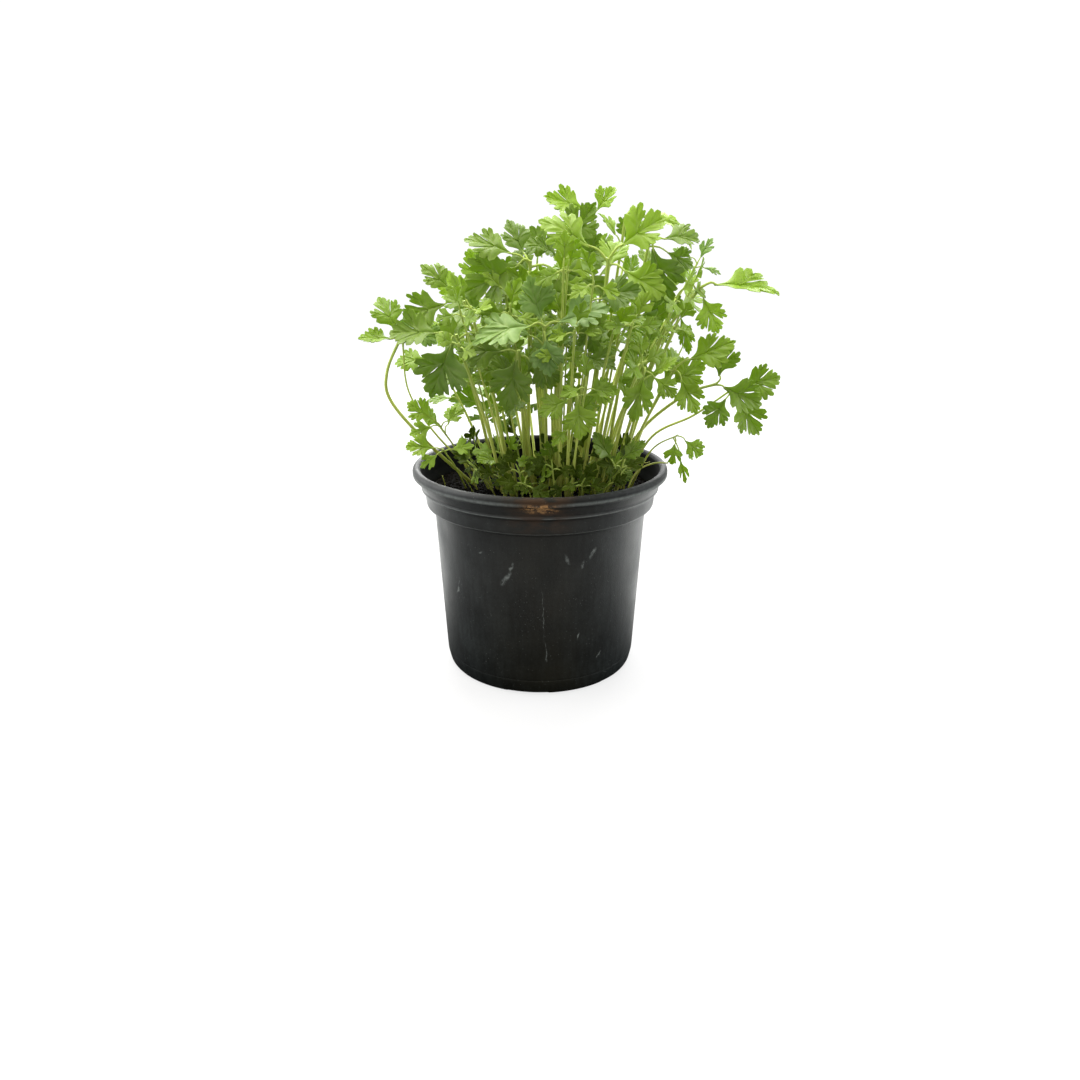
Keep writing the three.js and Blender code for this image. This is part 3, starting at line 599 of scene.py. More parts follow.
def direction(angle, toward, turn=0):
    # from its angle in the picture plane and its turn toward the viewer, who walks round the plant by turn
    a, b, c = math.radians(angle), math.radians(toward), math.radians(turn)
    right, front = math.cos(a) * math.cos(b), math.sin(b)
    return np.array([right * math.cos(c) + front * math.sin(c), right * math.sin(c) - front * math.cos(c),
                     math.sin(a) * math.cos(b)])


def through(points, steps):
    # a smooth path through points; the first and last only steer it
    path = []
    for a, b, c, d in zip(points, points[1:], points[2:], points[3:]):
        for t in np.arange(steps) / steps:
            path.append(0.5 * (a * (-t + 2 * t * t - t ** 3) + b * (2 - 5 * t * t + 3 * t ** 3)
                               + c * (t + 4 * t * t - 3 * t ** 3) + d * (t ** 3 - t * t)))
    return np.array(path + [points[-2]])


def onBlade(leaf, s, t):
    # points of a leaflet's middle sheet, s along it and t across it in half widths
    s, t = np.atleast_1d(s).astype(float), np.atleast_1d(t).astype(float)
    turn = leaf["bend"] * s + 0.0001
    reach = leaf["length"] * s * np.sin(turn) / turn
    drop = leaf["length"] * s * (1 - np.cos(turn)) / turn
    half = 0.5 * leaf["width"] * t
    lift = np.abs(half) * math.sin(leaf["fold"]) + 0.05 * leaf["width"] * np.sin(leaf["wave"] + 2.6 * t
                                                                                 + 3 * s)
    lift = (lift * np.minimum(1, 3 * s))[:, None]
    axis, normal = leaf["axis"], leaf["normal"]
    return (leaf["base"] + axis * reach[:, None] - normal * drop[:, None]
            + leaf["across"] * (half * math.cos(leaf["fold"]))[:, None]
            + lift * (axis * np.sin(turn)[:, None] + normal * np.cos(turn)[:, None]))


def setOut(plan, loose):
    # builds a frond from its plan; loose lets the draws move it further from the plan
    def shift():
        return between(-1, 1) * loose
    hub = np.array(plan["hub"], float)
    sight = unit(hub - np.array(layout["eye"], float))
    hub = hub + sight * (7 * shift())
    hub[0] += 0.7 * shift()
    hub[2] += 0.7 * shift()
    footX = plan["foot"][0] + 0.6 * shift()
    footY = plan["foot"][1] + 0.6 * shift()
    foot = np.array([footX, footY, soilFace(footX, footY)])
    moved = hub - np.array(plan["hub"], float)
    guides = [np.array(point, float) + 0.6 * moved for point in plan.get("via", [])]
    if not guides:
        guides = [foot + 0.45 * (hub - foot) + up * 0.07 * (hub[2] - foot[2])]
    rise = unit(guides[0] - foot)
    rise[2] = max(rise[2], 0.75)
    rise = unit(rise)
    deep = foot - rise * layout["rootDepth"]
    steer = [deep, foot, *guides, hub, hub + 0.5 * (hub - guides[-1])]
    path = np.vstack([deep, through(steer, 2)])
    tip = unit(hub - path[-2])
    turn = plan.get("turn", 0)
    leaves = []
    for k, (angle, toward, length, width, stem, face, *bend) in enumerate(plan["leaves"]):
        node = hub + tip * (-0.5 - 1.1 * k if k else 0)
        axis = direction(angle + 3 * shift(), toward + 6 * shift(), turn)
        tilt = math.radians(face + 4 * shift())
        normal = up * math.cos(tilt) + direction(0, 90, turn) * math.sin(tilt)
        normal = unit(normal - axis * normal.dot(axis))
        leaves.append({
            "root": node - 0.1 * axis if k else node, "from": tip,
            "base": node + axis * (stem + 3) + up * 0.1 * stem,
            "axis": axis, "normal": normal, "across": np.cross(axis, normal),
            "length": length * (1 - 0.035 * loose), "width": width * (1 - 0.035 * loose),
            "bend": bend[0] if bend else 0.35,
            "fold": 0.1 + 0.25 * draw(), "wave": 6.28 * draw(),
            "left": 0.86 + 0.2 * draw(), "right": 0.86 + 0.2 * draw(), "small": length < 15})
    return {"steer": steer, "path": path, "thick": plan["thick"], "tip": tip, "leaves": leaves}


def lineSamples(points):
    rows = []
    for near, far in zip(points, points[1:]):
        steps = math.ceil(np.linalg.norm(far - near) / layout["lineStep"])
        rows += [near + (far - near) * i / steps for i in range(steps)]
    return np.array(rows + [points[-1]])


def leafSamples(leaf):
    rows = math.ceil(leaf["length"] / layout["leafStep"])
    s, t = [], []
    for i in range(rows + 1):
        along = i / rows
        reach = 0.08 + 1.5 * along if along < 0.6 else 0.98 - 1.6 * (along - 0.6)
        columns = math.ceil(0.5 * leaf["width"] * reach / layout["leafStep"])
        for j in range(-columns, columns + 1):
            s.append(along)
            t.append(reach * j / columns)
    return onBlade(leaf, s, t)


def fits(frond):
    # true where a frond misses the pot and soil and everything placed so far; it is then noted as placed
    stalks = [lineSamples(frond["path"])]
    blades = []
    for leaf in frond["leaves"]:
        stalks.append(lineSamples([leaf["root"], leaf["base"]]))
        blades.append(leafSamples(leaf))
    stalks, blades = np.vstack(stalks), np.vstack(blades)
    points = np.vstack([stalks, blades])
    rooms = np.concatenate([np.full(len(stalks), layout["stalkRoom"]),
                            np.full(len(blades), layout["leafRoom"])])
    reach = np.hypot(points[:, 0], points[:, 1])
    inside = (points[:,
                     2] > layout["rimTop"]) | (reach < layout["rimInside"]) | (reach > layout["rimOutside"])
    if not inside.all() or not (blades[:, 2] > soil["top"] + layout["overSoil"]).all():
        return False
    low, high = points.min(0) - layout["farthest"], points.max(0) + layout["farthest"]
    near = ((taken["points"] > low) & (taken["points"] < high)).all(1)
    others, otherRooms = taken["points"][near], taken["rooms"][near]
    if len(others):
        gaps = np.linalg.norm(points[:, None] - others[None], axis=2)
        if (gaps < rooms[:, None] + otherRooms[None]).any():
            return False
    taken["points"] = np.vstack([taken["points"], points])
    taken["rooms"] = np.concatenate([taken["rooms"], rooms])
    return True


def placed(plan, tries):
    for k in range(tries):
        frond = setOut(plan, layout["step"] * k)
        if fits(frond):
            return frond
    return None


# Fronds seen in the photograph, nearest and clearest first
# foot on the soil, hub where the leaflets meet, via points between them, stalk radius at the foot,
# leaflets (angle, toward, length, width, stem, face, bend)
seen = [
    {"foot": (27, -6), "hub": (35, -36, 240), "via": [(27, -14, 140), (31, -26, 182)], "thick": 1.25,
     "leaves": [(40, 15, 25, 25, 6, 55), (148, 5, 28, 26, 9, 60), (-28, 28, 24, 25, 7, 84, 0.5)]},
    {"foot": (39, 4), "hub": (85, -22, 225), "via": [(44, -8, 148), (64, -18, 195)], "thick": 1.05,
     "leaves": [(6, 4, 37, 21, 4, 38, 0.5), (-62, 12, 19, 18, 3, 72), (142, 0, 16, 15, 3, 50)]},
    {"foot": (47, -2), "hub": (95, -34, 176), "via": [(56, -14, 144), (78, -27, 168)], "thick": 0.9,
     "leaves": [(82, 8, 19, 20, 1, 78), (-20, 14, 23, 22, 2, 72)]},
    {"foot": (51, 6), "hub": (110, -10, 170), "via": [(66, 2, 139), (89, -4, 153)], "thick": 0.75,
     "leaves": [(14, 10, 21, 23, 1, 82), (-58, 12, 24, 22, 4, 82), (-122, 18, 19, 18, 3, 78)]},
    {"foot": (-40, 2), "hub": (-76, -18, 198), "thick": 0.95,
     "via": [(-65, -15, 140), (-83, -19, 164), (-84, -20, 180)],
     "leaves": [(116, -5, 20, 19, 2, 50), (168, 6, 18, 15, 1, 34)]},
    {"foot": (4, -18), "hub": (2, -60, 209), "thick": 0.9,
     "leaves": [(186, 12, 31, 28, 3, 38), (22, 10, 26, 24, 4, 45), (-82, 25, 18, 19, 2, 82, 0.5),
                (105, 8, 21, 21, 3, 50)]},
    {"foot": (-7, -4), "hub": (-5, -32, 238), "thick": 1.0,
     "leaves": [(204, 12, 34, 31, 3, 66), (160, 0, 26, 23, 8, 50), (-14, 6, 33, 27, 10, 55),
                (118, -25, 21, 19, 5, 40)]},
    {"foot": (37, -4), "hub": (60, -16, 247), "thick": 0.95,
     "leaves": [(-74, 14, 32, 29, 2, 84, 0.3), (16, 5, 22, 20, 5, 50), (-34, -20, 18, 17, 8, 75)]},
    {"foot": (-25, -8), "hub": (-44, -36, 202), "thick": 0.95,
     "leaves": [(246, 15, 29, 32, 3, 84, 0.3), (172, 5, 26, 22, 7, 50), (12, 10, 26, 24, 8, 60)]},
    {"foot": (20, 12), "hub": (29, 8, 262), "thick": 0.85,
     "leaves": [(158, 10, 23, 19, 2, 60), (200, -8, 19, 16, 2, 40), (58, 5, 15, 14, 2, 45)]},
    {"foot": (31, 6), "hub": (46, -4, 261), "thick": 0.9,
     "leaves": [(-2, 5, 40, 18, 3, 40, 1.15), (-40, -30, 15, 13, 3, 60)]},
    {"foot": (-18, 6), "hub": (-42, -12, 217), "thick": 0.9,
     "leaves": [(196, 12, 27, 25, 8, 76), (138, 0, 20, 18, 8, 42), (-28, 14, 23, 22, 5, 66)]},
    {"foot": (-34, 10), "hub": (-78, 2, 193), "via": [(-60, 4, 138), (-76, 3, 165)], "thick": 0.6,
     "leaves": [(20, 10, 19, 18, 3, 62), (72, -10, 13, 12, 4, 45)]},
    {"foot": (45, -10), "hub": (74, -28, 185), "thick": 0.85,
     "leaves": [(26, 10, 25, 23, 5, 68), (-58, 15, 21, 18, 4, 78), (192, 8, 21, 20, 5, 60)]},
    {"foot": (40, -16), "hub": (70, -40, 214), "thick": 0.6,
     "leaves": [(-66, 10, 24, 12, 3, 74, 0.5), (150, 5, 18, 16, 4, 55)]},
    {"foot": (33, -17), "hub": (54, -48, 186), "thick": 0.75,
     "leaves": [(-104, 15, 25, 18, 2, 82, 0.3), (-38, 10, 16, 14, 4, 70), (96, 0, 14, 12, 4, 50)]},
    {"foot": (15, -20), "hub": (19, -58, 175), "thick": 0.7,
     "leaves": [(-84, 20, 19, 19, 1, 86), (202, 12, 17, 16, 2, 60), (12, 10, 17, 16, 2, 62)]},
    {"foot": (-8, -19), "hub": (-11, -50, 196), "thick": 0.8,
     "leaves": [(-104, 12, 27, 25, 2, 86), (176, 5, 24, 21, 5, 60), (-30, 10, 19, 18, 4, 70)]},
    {"foot": (17, -8), "hub": (48, -10, 206), "thick": 0.85,
     "leaves": [(24, 10, 25, 23, 6, 60), (184, 12, 23, 21, 4, 66), (-70, 12, 21, 19, 3, 80)]},
    {"foot": (10, 4), "hub": (22, -20, 216), "thick": 0.9,
     "leaves": [(170, 15, 25, 22, 6, 62), (14, 10, 25, 23, 6, 64), (-86, 20, 21, 19, 3, 80)]},
    {"foot": (34, 15), "hub": (90, 20, 236), "thick": 0.55,
     "leaves": [(148, 0, 11, 8, 2, 50), (62, 0, 12, 9, 2, 40), (-10, -10, 11, 6, 3, 40)]},
    {"foot": (52, -12), "hub": (76, -30, 147), "via": [(63, -20, 136)], "thick": 0.5,
     "leaves": [(-38, 10, 15, 13, 2, 70, 0.9), (-96, 14, 12, 11, 2, 80, 0.6), (-74, 6, 14, 6, 12, 80)]},
    {"foot": (-37, -9), "hub": (-57, -22, 152), "thick": 0.5,
     "leaves": [(142, 8, 15, 14, 2, 55), (196, 5, 13, 12, 2, 60), (36, 0, 12, 11, 2, 50)]},
    {"foot": (-44, -5), "hub": (-53, -38, 141), "thick": 0.5,
     "leaves": [(172, 10, 15, 14, 2, 60), (214, 15, 11, 10, 2, 70), (14, 10, 12, 11, 2, 60)]},
    {"foot": (-15, 0), "hub": (-26, -10, 180), "thick": 0.8,
     "leaves": [(170, 10, 21, 19, 4, 55), (10, 10, 21, 19, 4, 60), (-96, 10, 14, 13, 2, 80)]},
    {"foot": (46, -16), "hub": (41, -25, 129), "thick": 0.6,
     "leaves": [(116, 12, 20, 13, 1, 74), (44, 12, 18, 12, 2, 70)]},
    {"foot": (-29, 16), "hub": (-60, 18, 180), "thick": 0.75,
     "leaves": [(176, 0, 21, 19, 3, 45), (60, -10, 19, 17, 4, 45), (-20, 0, 19, 17, 4, 55)]},
]

# Hubs of the leaflet sprays inside the crown, between the ones listed above
inner = [(14, 2, 241), (29, 8, 226), (46, 4, 240), (60, 10, 214), (-22, -4, 214), (-31, 14, 217),
         (-2, 18, 233), (14, -22, 200), (-48, 16, 206), (76, 10, 220), (36, -12, 190), (-16, -16, 178)]


def innerPlan(hub):
    x, y, _ = hub
    size = between(22, 27)
    return {
        "foot": (6 + 0.42 * (x - 6) + between(-4, 4), 0.35 * y + between(-4, 12)),
        "hub": hub,
        "thick": between(0.7, 0.9),
        "leaves": [
            (between(60, 120), between(-10, 35), size, size * 0.95, 5, between(35, 65)),
            (between(155, 215), between(0, 30), size * 0.95, size * 0.85, 4, between(40, 75)),
            (between(-40, 25), between(0, 30), size * 0.95, size * 0.85, 4, between(40, 75))]}


def crownTop(x, y):  # the crown is highest a little right of the middle
    return 262 - 0.009 * (x - 30) * (x - 30) - 0.28 * y


def hiddenPlan():
    # fronds round the sides and back that the photograph hides
    turn = between(80, 280)
    rank = draw()
    reach = 26 + 36 * rank + between(-5, 5)
    out = direction(0, 90, turn)
    x, y = 10 + reach * 1.1 * out[0], 6 + reach * out[1]
    foot = (6 + (10 + 28 * rank) * out[0] + between(-5, 5), 4 + (6 + 18 * rank) * out[1] + between(-5, 5))
    size = between(21, 27)
    draw()  # the draw that picks the node's colour
    return {
        "foot": foot,
        "hub": (x, y, crownTop(x, y) - 8 - 46 * rank * rank - between(0, 24)),
        "turn": turn,
        "thick": between(0.7, 1),
        "leaves": [
            (90, between(48, 80), size * 1.1, size * 1.02, 6, between(15, 60), between(0.3, 0.7)),
            (between(150, 180), between(0, 25), size, size * 0.9, 4, between(20, 70)),
            (between(0, 30), between(0, 25), size, size * 0.9, 4, between(20, 70))]}


def lowPlan():
    # small young leaves low among the stalks
    turn = between(-75, 75)
    out = direction(0, 90, turn)
    reach = between(0.7, 1.3)
    foot = (6 + 38 * reach * out[0], 20 * reach * out[1])
    hub = (foot[0] + 9 * out[0], foot[1] + 9 * out[1], between(120, 138))
    draw()  # the draw that picks the node's colour
    first = (between(60, 120), between(20, 60), between(10, 14), between(9, 13), 2, between(40, 80))
    second = (between(150, 200) if draw() < 0.5 else between(-20, 30), 20, between(9, 13), between(9, 12),
              2, 60)
    return {"foot": foot, "hub": hub, "turn": turn, "thick": 0.5, "leaves": [first, second]}


def setOutAll():
    plans = seen + [innerPlan(hub) for hub in inner]
    fronds = [frond for frond in (placed(plan, layout["tries"]) for plan in plans) if frond]
    for rule, wanted in ((hiddenPlan, layout["hidden"]), (lowPlan, layout["low"])):
        found = 0
        for _ in range(layout["plans"]):
            frond = placed(rule(), layout["ruleTries"]) if found < wanted else None
            if frond:
                fronds.append(frond)
                found += 1
    return fronds


# Side leaflets that the solids leave out: opposite pairs lower on the same stalks, clear of all else
sideLeaves = {
    "seed": 7, "pairs": 3, "tries": 14, "steps": 12,   # places along each stretch of the stalk to choose from
    "from": 0.66, "to": 0.97,             # share of the stalk's length between which they stand
    "clear": 2.3, "stemClear": 1.5,       # least gap round a blade and round its stem
    "ownStalk": 5,                        # reach round the stem's foot within which its stalk may be close
    "outside": 1, "overSoil": 4,          # most that a blade passes its solid's box, and its least height
    "bare": (3, 4, 5, 13, 22, 24, 26),    # fronds whose stalks are bare in the photograph
    "climb": (10, 60), "tilt": (20, 80),  # degrees
    "stem": (2, 10), "length": (12, 21), "width": (0.8, 1.0), "bend": (0.2, 0.7),
    "shape": ((0.1, 0, 0.86, 0.86), (0.35, 6.28, 1.06, 1.06)),   # least and most fold, wave, left, right
    "small": 14,                          # length under which a leaflet gets the simpler outline
}


def isClear(points, room, apartFrom=None):
    others = taken["points"]
    near = ((others > points.min(0) - room) & (others < points.max(0) + room)).all(1)
    others = others[near]
    if apartFrom is not None:
        others = others[np.linalg.norm(others - apartFrom, axis=1) > sideLeaves["ownStalk"]]
    return not len(others) or np.linalg.norm(points[:, None] - others[None], axis=2).min() > room


def sideLeaf(node, along, side, share, rng):
    climb = math.radians(rng.uniform(*sideLeaves["climb"]))
    axis = unit(side * math.cos(climb) + along * math.sin(climb))
    outward = unit(np.array([node[0] - 6, node[1] - 20, 0]) + rng.uniform(-12, 12, 3) * (1, 1, 0))
    tilt = math.radians(rng.uniform(*sideLeaves["tilt"]))
    normal = up * math.cos(tilt) + outward * math.sin(tilt)
    normal = unit(normal - axis * normal.dot(axis))
    stem, length = rng.uniform(*sideLeaves["stem"]), rng.uniform(*sideLeaves["length"]) * (0.75
                                                                                           + 0.35 * share)
    fold, wave, left, right = rng.uniform(*sideLeaves["shape"])
    return {"root": node, "from": along, "base": node + axis * stem + up * 0.1 * stem, "axis": axis,
            "normal": normal, "across": np.cross(axis, normal), "length": length,
            "width": length * rng.uniform(*sideLeaves["width"]), "bend": rng.uniform(*sideLeaves["bend"]),
            "fold": fold, "wave": wave, "left": left, "right": right, "small": length < sideLeaves["small"]}


def sidePair(path, tip, low, high, rng):
    # a pair of side leaflets at one place of a stalk, less what isn't clear there
    share = rng.uniform(sideLeaves["from"], sideLeaves["to"])
    k = int(share * (len(path) - 2)) + 1
    along = unit(path[k + 1] - path[k - 1]) if k + 1 < len(path) else tip
    side = unit(np.cross(along, rng.normal(size=3)))
    pair = []
    for way in (side, -side):
        leaf = sideLeaf(path[k], along, way, share, rng)
        blade = leafSamples(leaf)
        stem = lineSamples([leaf["root"], leaf["base"]])
        reach = np.hypot(blade[:, 0], blade[:, 1])
        fitting = ((blade > low - sideLeaves["outside"]) & (blade < high + sideLeaves["outside"])).all()
        fitting = fitting and (blade[:, 2] > soil["top"] + sideLeaves["overSoil"]).all()
        fitting = fitting and ((blade[:, 2] > layout["rimTop"]) | (reach < layout["rimInside"])).all()
        fitting = fitting and isClear(blade, sideLeaves["clear"])
        if fitting and isClear(stem, sideLeaves["stemClear"], path[k]):
            pair.append(leaf)
            taken["points"] = np.vstack([taken["points"], blade, stem[1:]])
    return pair


def addSideLeaves(fronds):
    rng = np.random.default_rng(sideLeaves["seed"])
    count = 0
    for i, frond in enumerate(fronds):
        if i + 1 in sideLeaves["bare"]:
            continue
        low, high = (np.array(corner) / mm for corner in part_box(f"frond_{i + 1:02d}"))
        path = through(frond["steer"], sideLeaves["steps"])
        for _ in range(sideLeaves["pairs"]):
            for _ in range(sideLeaves["tries"]):
                pair = sidePair(path, frond["tip"], low, high, rng)
                frond["leaves"] += pair
                count += len(pair)
                if pair:
                    break
    print("side leaflets:", count)


# Leaflets and stalks, finer than the solids on the same sheets and paths

leafShape = {
    # half of a leaflet's cut edge, from its base over the side lobe to the middle lobe, then the number of
    # the tooth that a vein runs to: whole numbers are tooth tips, halves are the notches between them
    "big": [(0, .06, 0), (.11, .13, .2), (.21, .30, .5), (.27, .58, .75), (.31, .86, .92), (.36, .96, 1.0),
            (.42, .93, 1.1), (.44, .77, 1.5), (.47, .93, 1.88), (.53, 1.03, 2.0), (.59, 1.0, 2.12),
            (.58, .81, 2.5), (.63, .92, 2.88), (.70, .94, 3.0), (.74, .86, 3.08), (.73, .76, 3.2),
            (.66, .66, 3.5), (.74, .63, 3.85), (.74, .53, 4.0), (.58, .33, 4.25), (.43, .15, 4.5),
            (.57, .24, 4.65), (.70, .43, 4.85), (.77, .56, 4.95), (.84, .56, 5.03), (.86, .46, 5.15),
            (.82, .34, 5.5), (.89, .39, 5.9), (.95, .34, 6.0), (.97, .24, 6.12), (.93, .15, 6.5),
            (1.0, .13, 6.85), (1.03, 0, 7)],
    "small": [(0, .1, 0), (.12, .20, .2), (.24, .45, .5), (.31, .84, .9), (.38, 1.0, 1.0), (.47, .98, 1.12),
              (.51, .80, 1.5), (.59, .95, 2.3), (.68, .92, 2.7), (.72, .78, 3.05), (.64, .54, 3.4),
              (.45, .17, 4.5), (.65, .28, 4.7), (.79, .48, 4.93), (.87, .46, 5.05), (.87, .32, 5.3),
              (.86, .24, 5.5), (.97, .20, 6.4), (1.03, 0, 7)],
    "foot": (0, 0), "fork": (0.36, 0), "lobeEnd": (0.60, 0.76), "middleEnd": (0.92, 0),
    "stretches": (0, 0.5, 3, 4.5, 7),   # tooth numbers where the edge passes these ends of the veins
    "stations": {"big": 14, "small": 9, "young": 6},   # points along each stretch of the edge
    "rings": {"big": (0, 0.07, 0.3, 0.6, 0.86, 1), "small": (0, 0.08, 0.35, 0.72, 1),
              "young": (0, 0.12, 0.55, 1)},
    "thickness": 0.34, "edgeThickness": 0.2,
    "deeper": 0.14,   # most that a leaflet's notches are cut deeper than the pattern
    "uneven": (0.018, 0.05),   # by how much of its length and width the edge wanders
    "full": 25,       # length of a leaflet whose relief is groove, puff, ruffle and droop, all in mm
    "groove": 0.12, "puff": 0.45, "ruffle": 0.5, "droop": 1.6,
    "sharp": 62,      # degrees between faces from which an edge stays sharp
}


def rounded(points, rounds=2):
    points = np.array(points, float)
    for _ in range(rounds):
        near, far = points[:-1] * 0.75 + points[1:] * 0.25, points[:-1] * 0.25 + points[1:] * 0.75
        points = np.vstack([points[:1], np.stack([near, far], 1).reshape(-1, 3), points[-1:]])
    return points


def leafPattern(kind, size):
    # a flat leaflet as rows of (s, t, ring share, tooth number) and its triangles, facing up; its rings run
    # from the vein to the edge
    edge = rounded(leafShape[kind])
    n = leafShape["stations"][size]
    few, along = np.linspace(0, 1, 6), np.linspace(0, 1, n + 1)
    shares = (few[:-1], along[:-1], along[:-1], along)
    marks = leafShape["stretches"]
    ends = [np.array(leafShape[k], float) for k in ("foot", "fork", "lobeEnd", "fork", "middleEnd")]
    teeth = np.concatenate([near + (far - near) * share for near, far,
                            share in zip(marks, marks[1:], shares)])
    vein = np.vstack([near + (far - near) * share[:, None] for near, far,
                      share in zip(ends, ends[1:], shares)])
    outer = np.stack([np.interp(teeth, edge[:, 2], edge[:, k]) for k in (0, 1)], 1)
    rows, keys, faces = [], {}, []
    rings = leafShape["rings"][size]

    def number(i, ring, side):
        share = rings[ring]
        s, t = vein[i] + share * (outer[i] - vein[i])
        key = (round(s, 6), round(t * side, 6) + 0.0)
        if key not in keys:
            keys[key] = len(rows)
            rows.append((s, t * side, share, teeth[i]))
        return keys[key]
    for side in (1, -1):
        for i in range(len(outer) - 1):
            for ring in range(len(rings) - 1):
                corners = [number(i, ring, side), number(i, ring + 1, side), number(i + 1, ring + 1, side),
                           number(i + 1, ring, side)]
                if side < 0:
                    corners.reverse()
                for a, b, c in (corners[:3], corners[:1] + corners[2:]):
                    if len({a, b, c}) == 3:
                        faces.append((a, b, c))
    sides = {(a, b): True for corners in faces for a, b in zip(corners, corners[1:] + corners[:1])}
    border = [pair for pair in sides if pair[::-1] not in sides]
    return np.array(rows), np.array(faces), np.array(border)


def leafletMesh(leaf, pattern, rng):
    # one leaflet as a thin closed sheet with its veins pressed in and the blade puffed up between them
    rows, faces, border = pattern
    s, t, share, tooth = rows.T
    t = np.where(t > 0, t * leaf["right"], t * leaf["left"])
    phase = rng.uniform(0, 6.28, 4)
    notch = 0.5 - 0.5 * np.cos(2 * math.pi * tooth)
    longer, wider = leafShape["uneven"]
    t = t * (1 - rng.uniform(0, leafShape["deeper"]) * notch * share ** 2)
    s = s + longer * share * np.sin(2.1 * tooth + np.sign(t) + phase[0])
    t = t * (1 + wider * share * np.sin(1.7 * tooth + 2 * np.sign(t) + phase[1]))

    h = 0.004   # a small step along the blade and across it gives its slope
    slope = np.cross(onBlade(leaf, s + h, t) - onBlade(leaf, s - h, t),
                     onBlade(leaf, s, t + 3 * h) - onBlade(leaf, s, t - 3 * h))
    slope /= -np.linalg.norm(slope, axis=1)[:, None]
    if slope[0].dot(leaf["normal"]) < 0:
        slope = -slope
    lobes = rng.uniform(-1, 0.7, 3) * leafShape["droop"]
    relief = leafShape["puff"] * notch * 4 * share * (1 - share)
    relief += leafShape["ruffle"] * share ** 3 * np.sin(2.4 * tooth + phase[2] + np.sign(t))
    relief += np.where(t > 0, lobes[0], lobes[1]) * t * t + lobes[2] * s ** 4
    relief -= leafShape["groove"] * np.exp(-(share / 0.12) ** 2) * (s < 0.95)
    middle = onBlade(leaf, s, t) + slope * (relief * leaf["length"] / leafShape["full"])[:, None]

    half = 0.5 * (leafShape["thickness"] + (leafShape["edgeThickness"] - leafShape["thickness"]) * share ** 4)
    count = len(rows)
    points = np.vstack([middle + slope * half[:, None], middle - slope * half[:, None]])
    walls = [(b, a, a + count) for a, b in border] + [(b, a + count, b + count) for a, b in border]
    triangles = np.vstack([faces, faces[:, ::-1] + count, walls])
    marks = {"veinShare": np.tile(share, 2), "toothNumber": np.tile(tooth, 2),
             "underside": np.repeat([0.0, 1.0], count), "tint": np.full(2 * count, rng.uniform(0, 1))}
    return points, triangles, marks


def stalkTree():
    # sweeps a ribbed stalk along each loose path and leaves the leaflets as they are
    tree, add, given = newTree("ribbedStalks", [
        ("Ribs", "NodeSocketInt", 6), ("Rib depth", "NodeSocketFloat", 0.12),
        ("Stalk material", "NodeSocketMaterial", None)])
    isPath = add("GeometryNodeInputNamedAttribute", {"Name": "isPath"}, data_type="BOOLEAN")
    split = add("GeometryNodeSeparateGeometry", {"Geometry": given.outputs["Geometry"],
                                                 "Selection": isPath})
    curves = add("GeometryNodeMeshToCurve", {"Mesh": split.outputs["Selection"]})
    radius = add("GeometryNodeInputNamedAttribute", {"Name": "stalkRadius"}, data_type="FLOAT")
    inside = add("Math", [1.0, given.outputs["Rib depth"]], operation="SUBTRACT")
    section = add("GeometryNodeCurveStar", {"Points": given.outputs["Ribs"], "Inner Radius": inside,
                                            "Outer Radius": 1.0})
    swept = add("GeometryNodeCurveToMesh", {"Curve": curves, "Profile Curve": section.outputs["Curve"],
                                            "Scale": radius, "Fill Caps": True})
    smooth = add("GeometryNodeSetShadeSmooth", [swept])
    both = add("GeometryNodeJoinGeometry")
    for source in (smooth.outputs["Geometry"], split.outputs["Inverted"]):
        tree.links.new(source, both.inputs[0])
    real = add("GeometryNodeRealizeInstances", [both])
    dressed = add("GeometryNodeSetMaterial", [real, isPath, given.outputs["Stalk material"]])
    add("NodeGroupOutput", [dressed])
    return tree


stalk = {
    "ribs": 6, "ribDepth": 0.12,         # as a share of the radius
    "fuller": 0.08,                      # by how much the finer stalk's radius is over the solid's
    "foot": 1.08, "taper": 0.36,         # radius at the foot and how much less at the hub, as shares of it
    "knee": (0.28, 1.6),                 # how much thicker the hub is, and over how many places
    "steps": 9, "stemSteps": 3, "strandSteps": 8,
    "stem": (0.38, 0.62, 0.75),          # least and most radius of a leaflet's stem, its share of the stalk's
    "stemShares": ((0, 0.3, 0.5, 1), (1.15, 0.85, 0.62)), "ribEnd": 0.13,
    "rib": (0.05, 0.2, 0.36, 0.55),      # where the stem runs on under the blade as its midrib
    "under": 0.22,
}


def stalkPaths(frond):
    # the stalk, then a stem for each leaflet that runs on as its midrib: points, radii, share of the length
    thick = frond["thick"] + stalk["fuller"]
    line = np.vstack([frond["steer"][0], through(frond["steer"], stalk["steps"])])
    share = np.linspace(0, 1, len(line))
    more, places = stalk["knee"]
    knee = 1 + more * np.exp(-((1 - share) * len(line) / places) ** 2)
    paths = [(line, thick * (stalk["foot"] - stalk["taper"] * share) * knee, share)]
    least, most, ofStalk = stalk["stem"]
    along, shares = stalk["stemShares"]
    for leaf in frond["leaves"]:
        start = leaf["root"] - leaf["from"] * 0.8
        under = [onBlade(leaf, s, 0)[0] - leaf["normal"] * stalk["under"] for s in stalk["rib"]]
        bow = leaf["root"] + 0.55 * (leaf["base"] - leaf["root"]) + leaf["from"] * 0.06 * leaf["length"]
        spine = through([start - leaf["from"], start, bow, *under, 2 * under[-1] - under[-2]],
                        stalk["stemSteps"])
        width = max(least, min(most, ofStalk * thick) * (leaf["length"] / leafShape["full"]) ** 0.5)
        radii = [width * part for part in shares] + [stalk["ribEnd"]]
        paths.append((spine, np.interp(np.linspace(0, 1, len(spine)), along, radii), np.ones(len(spine))))
    return paths


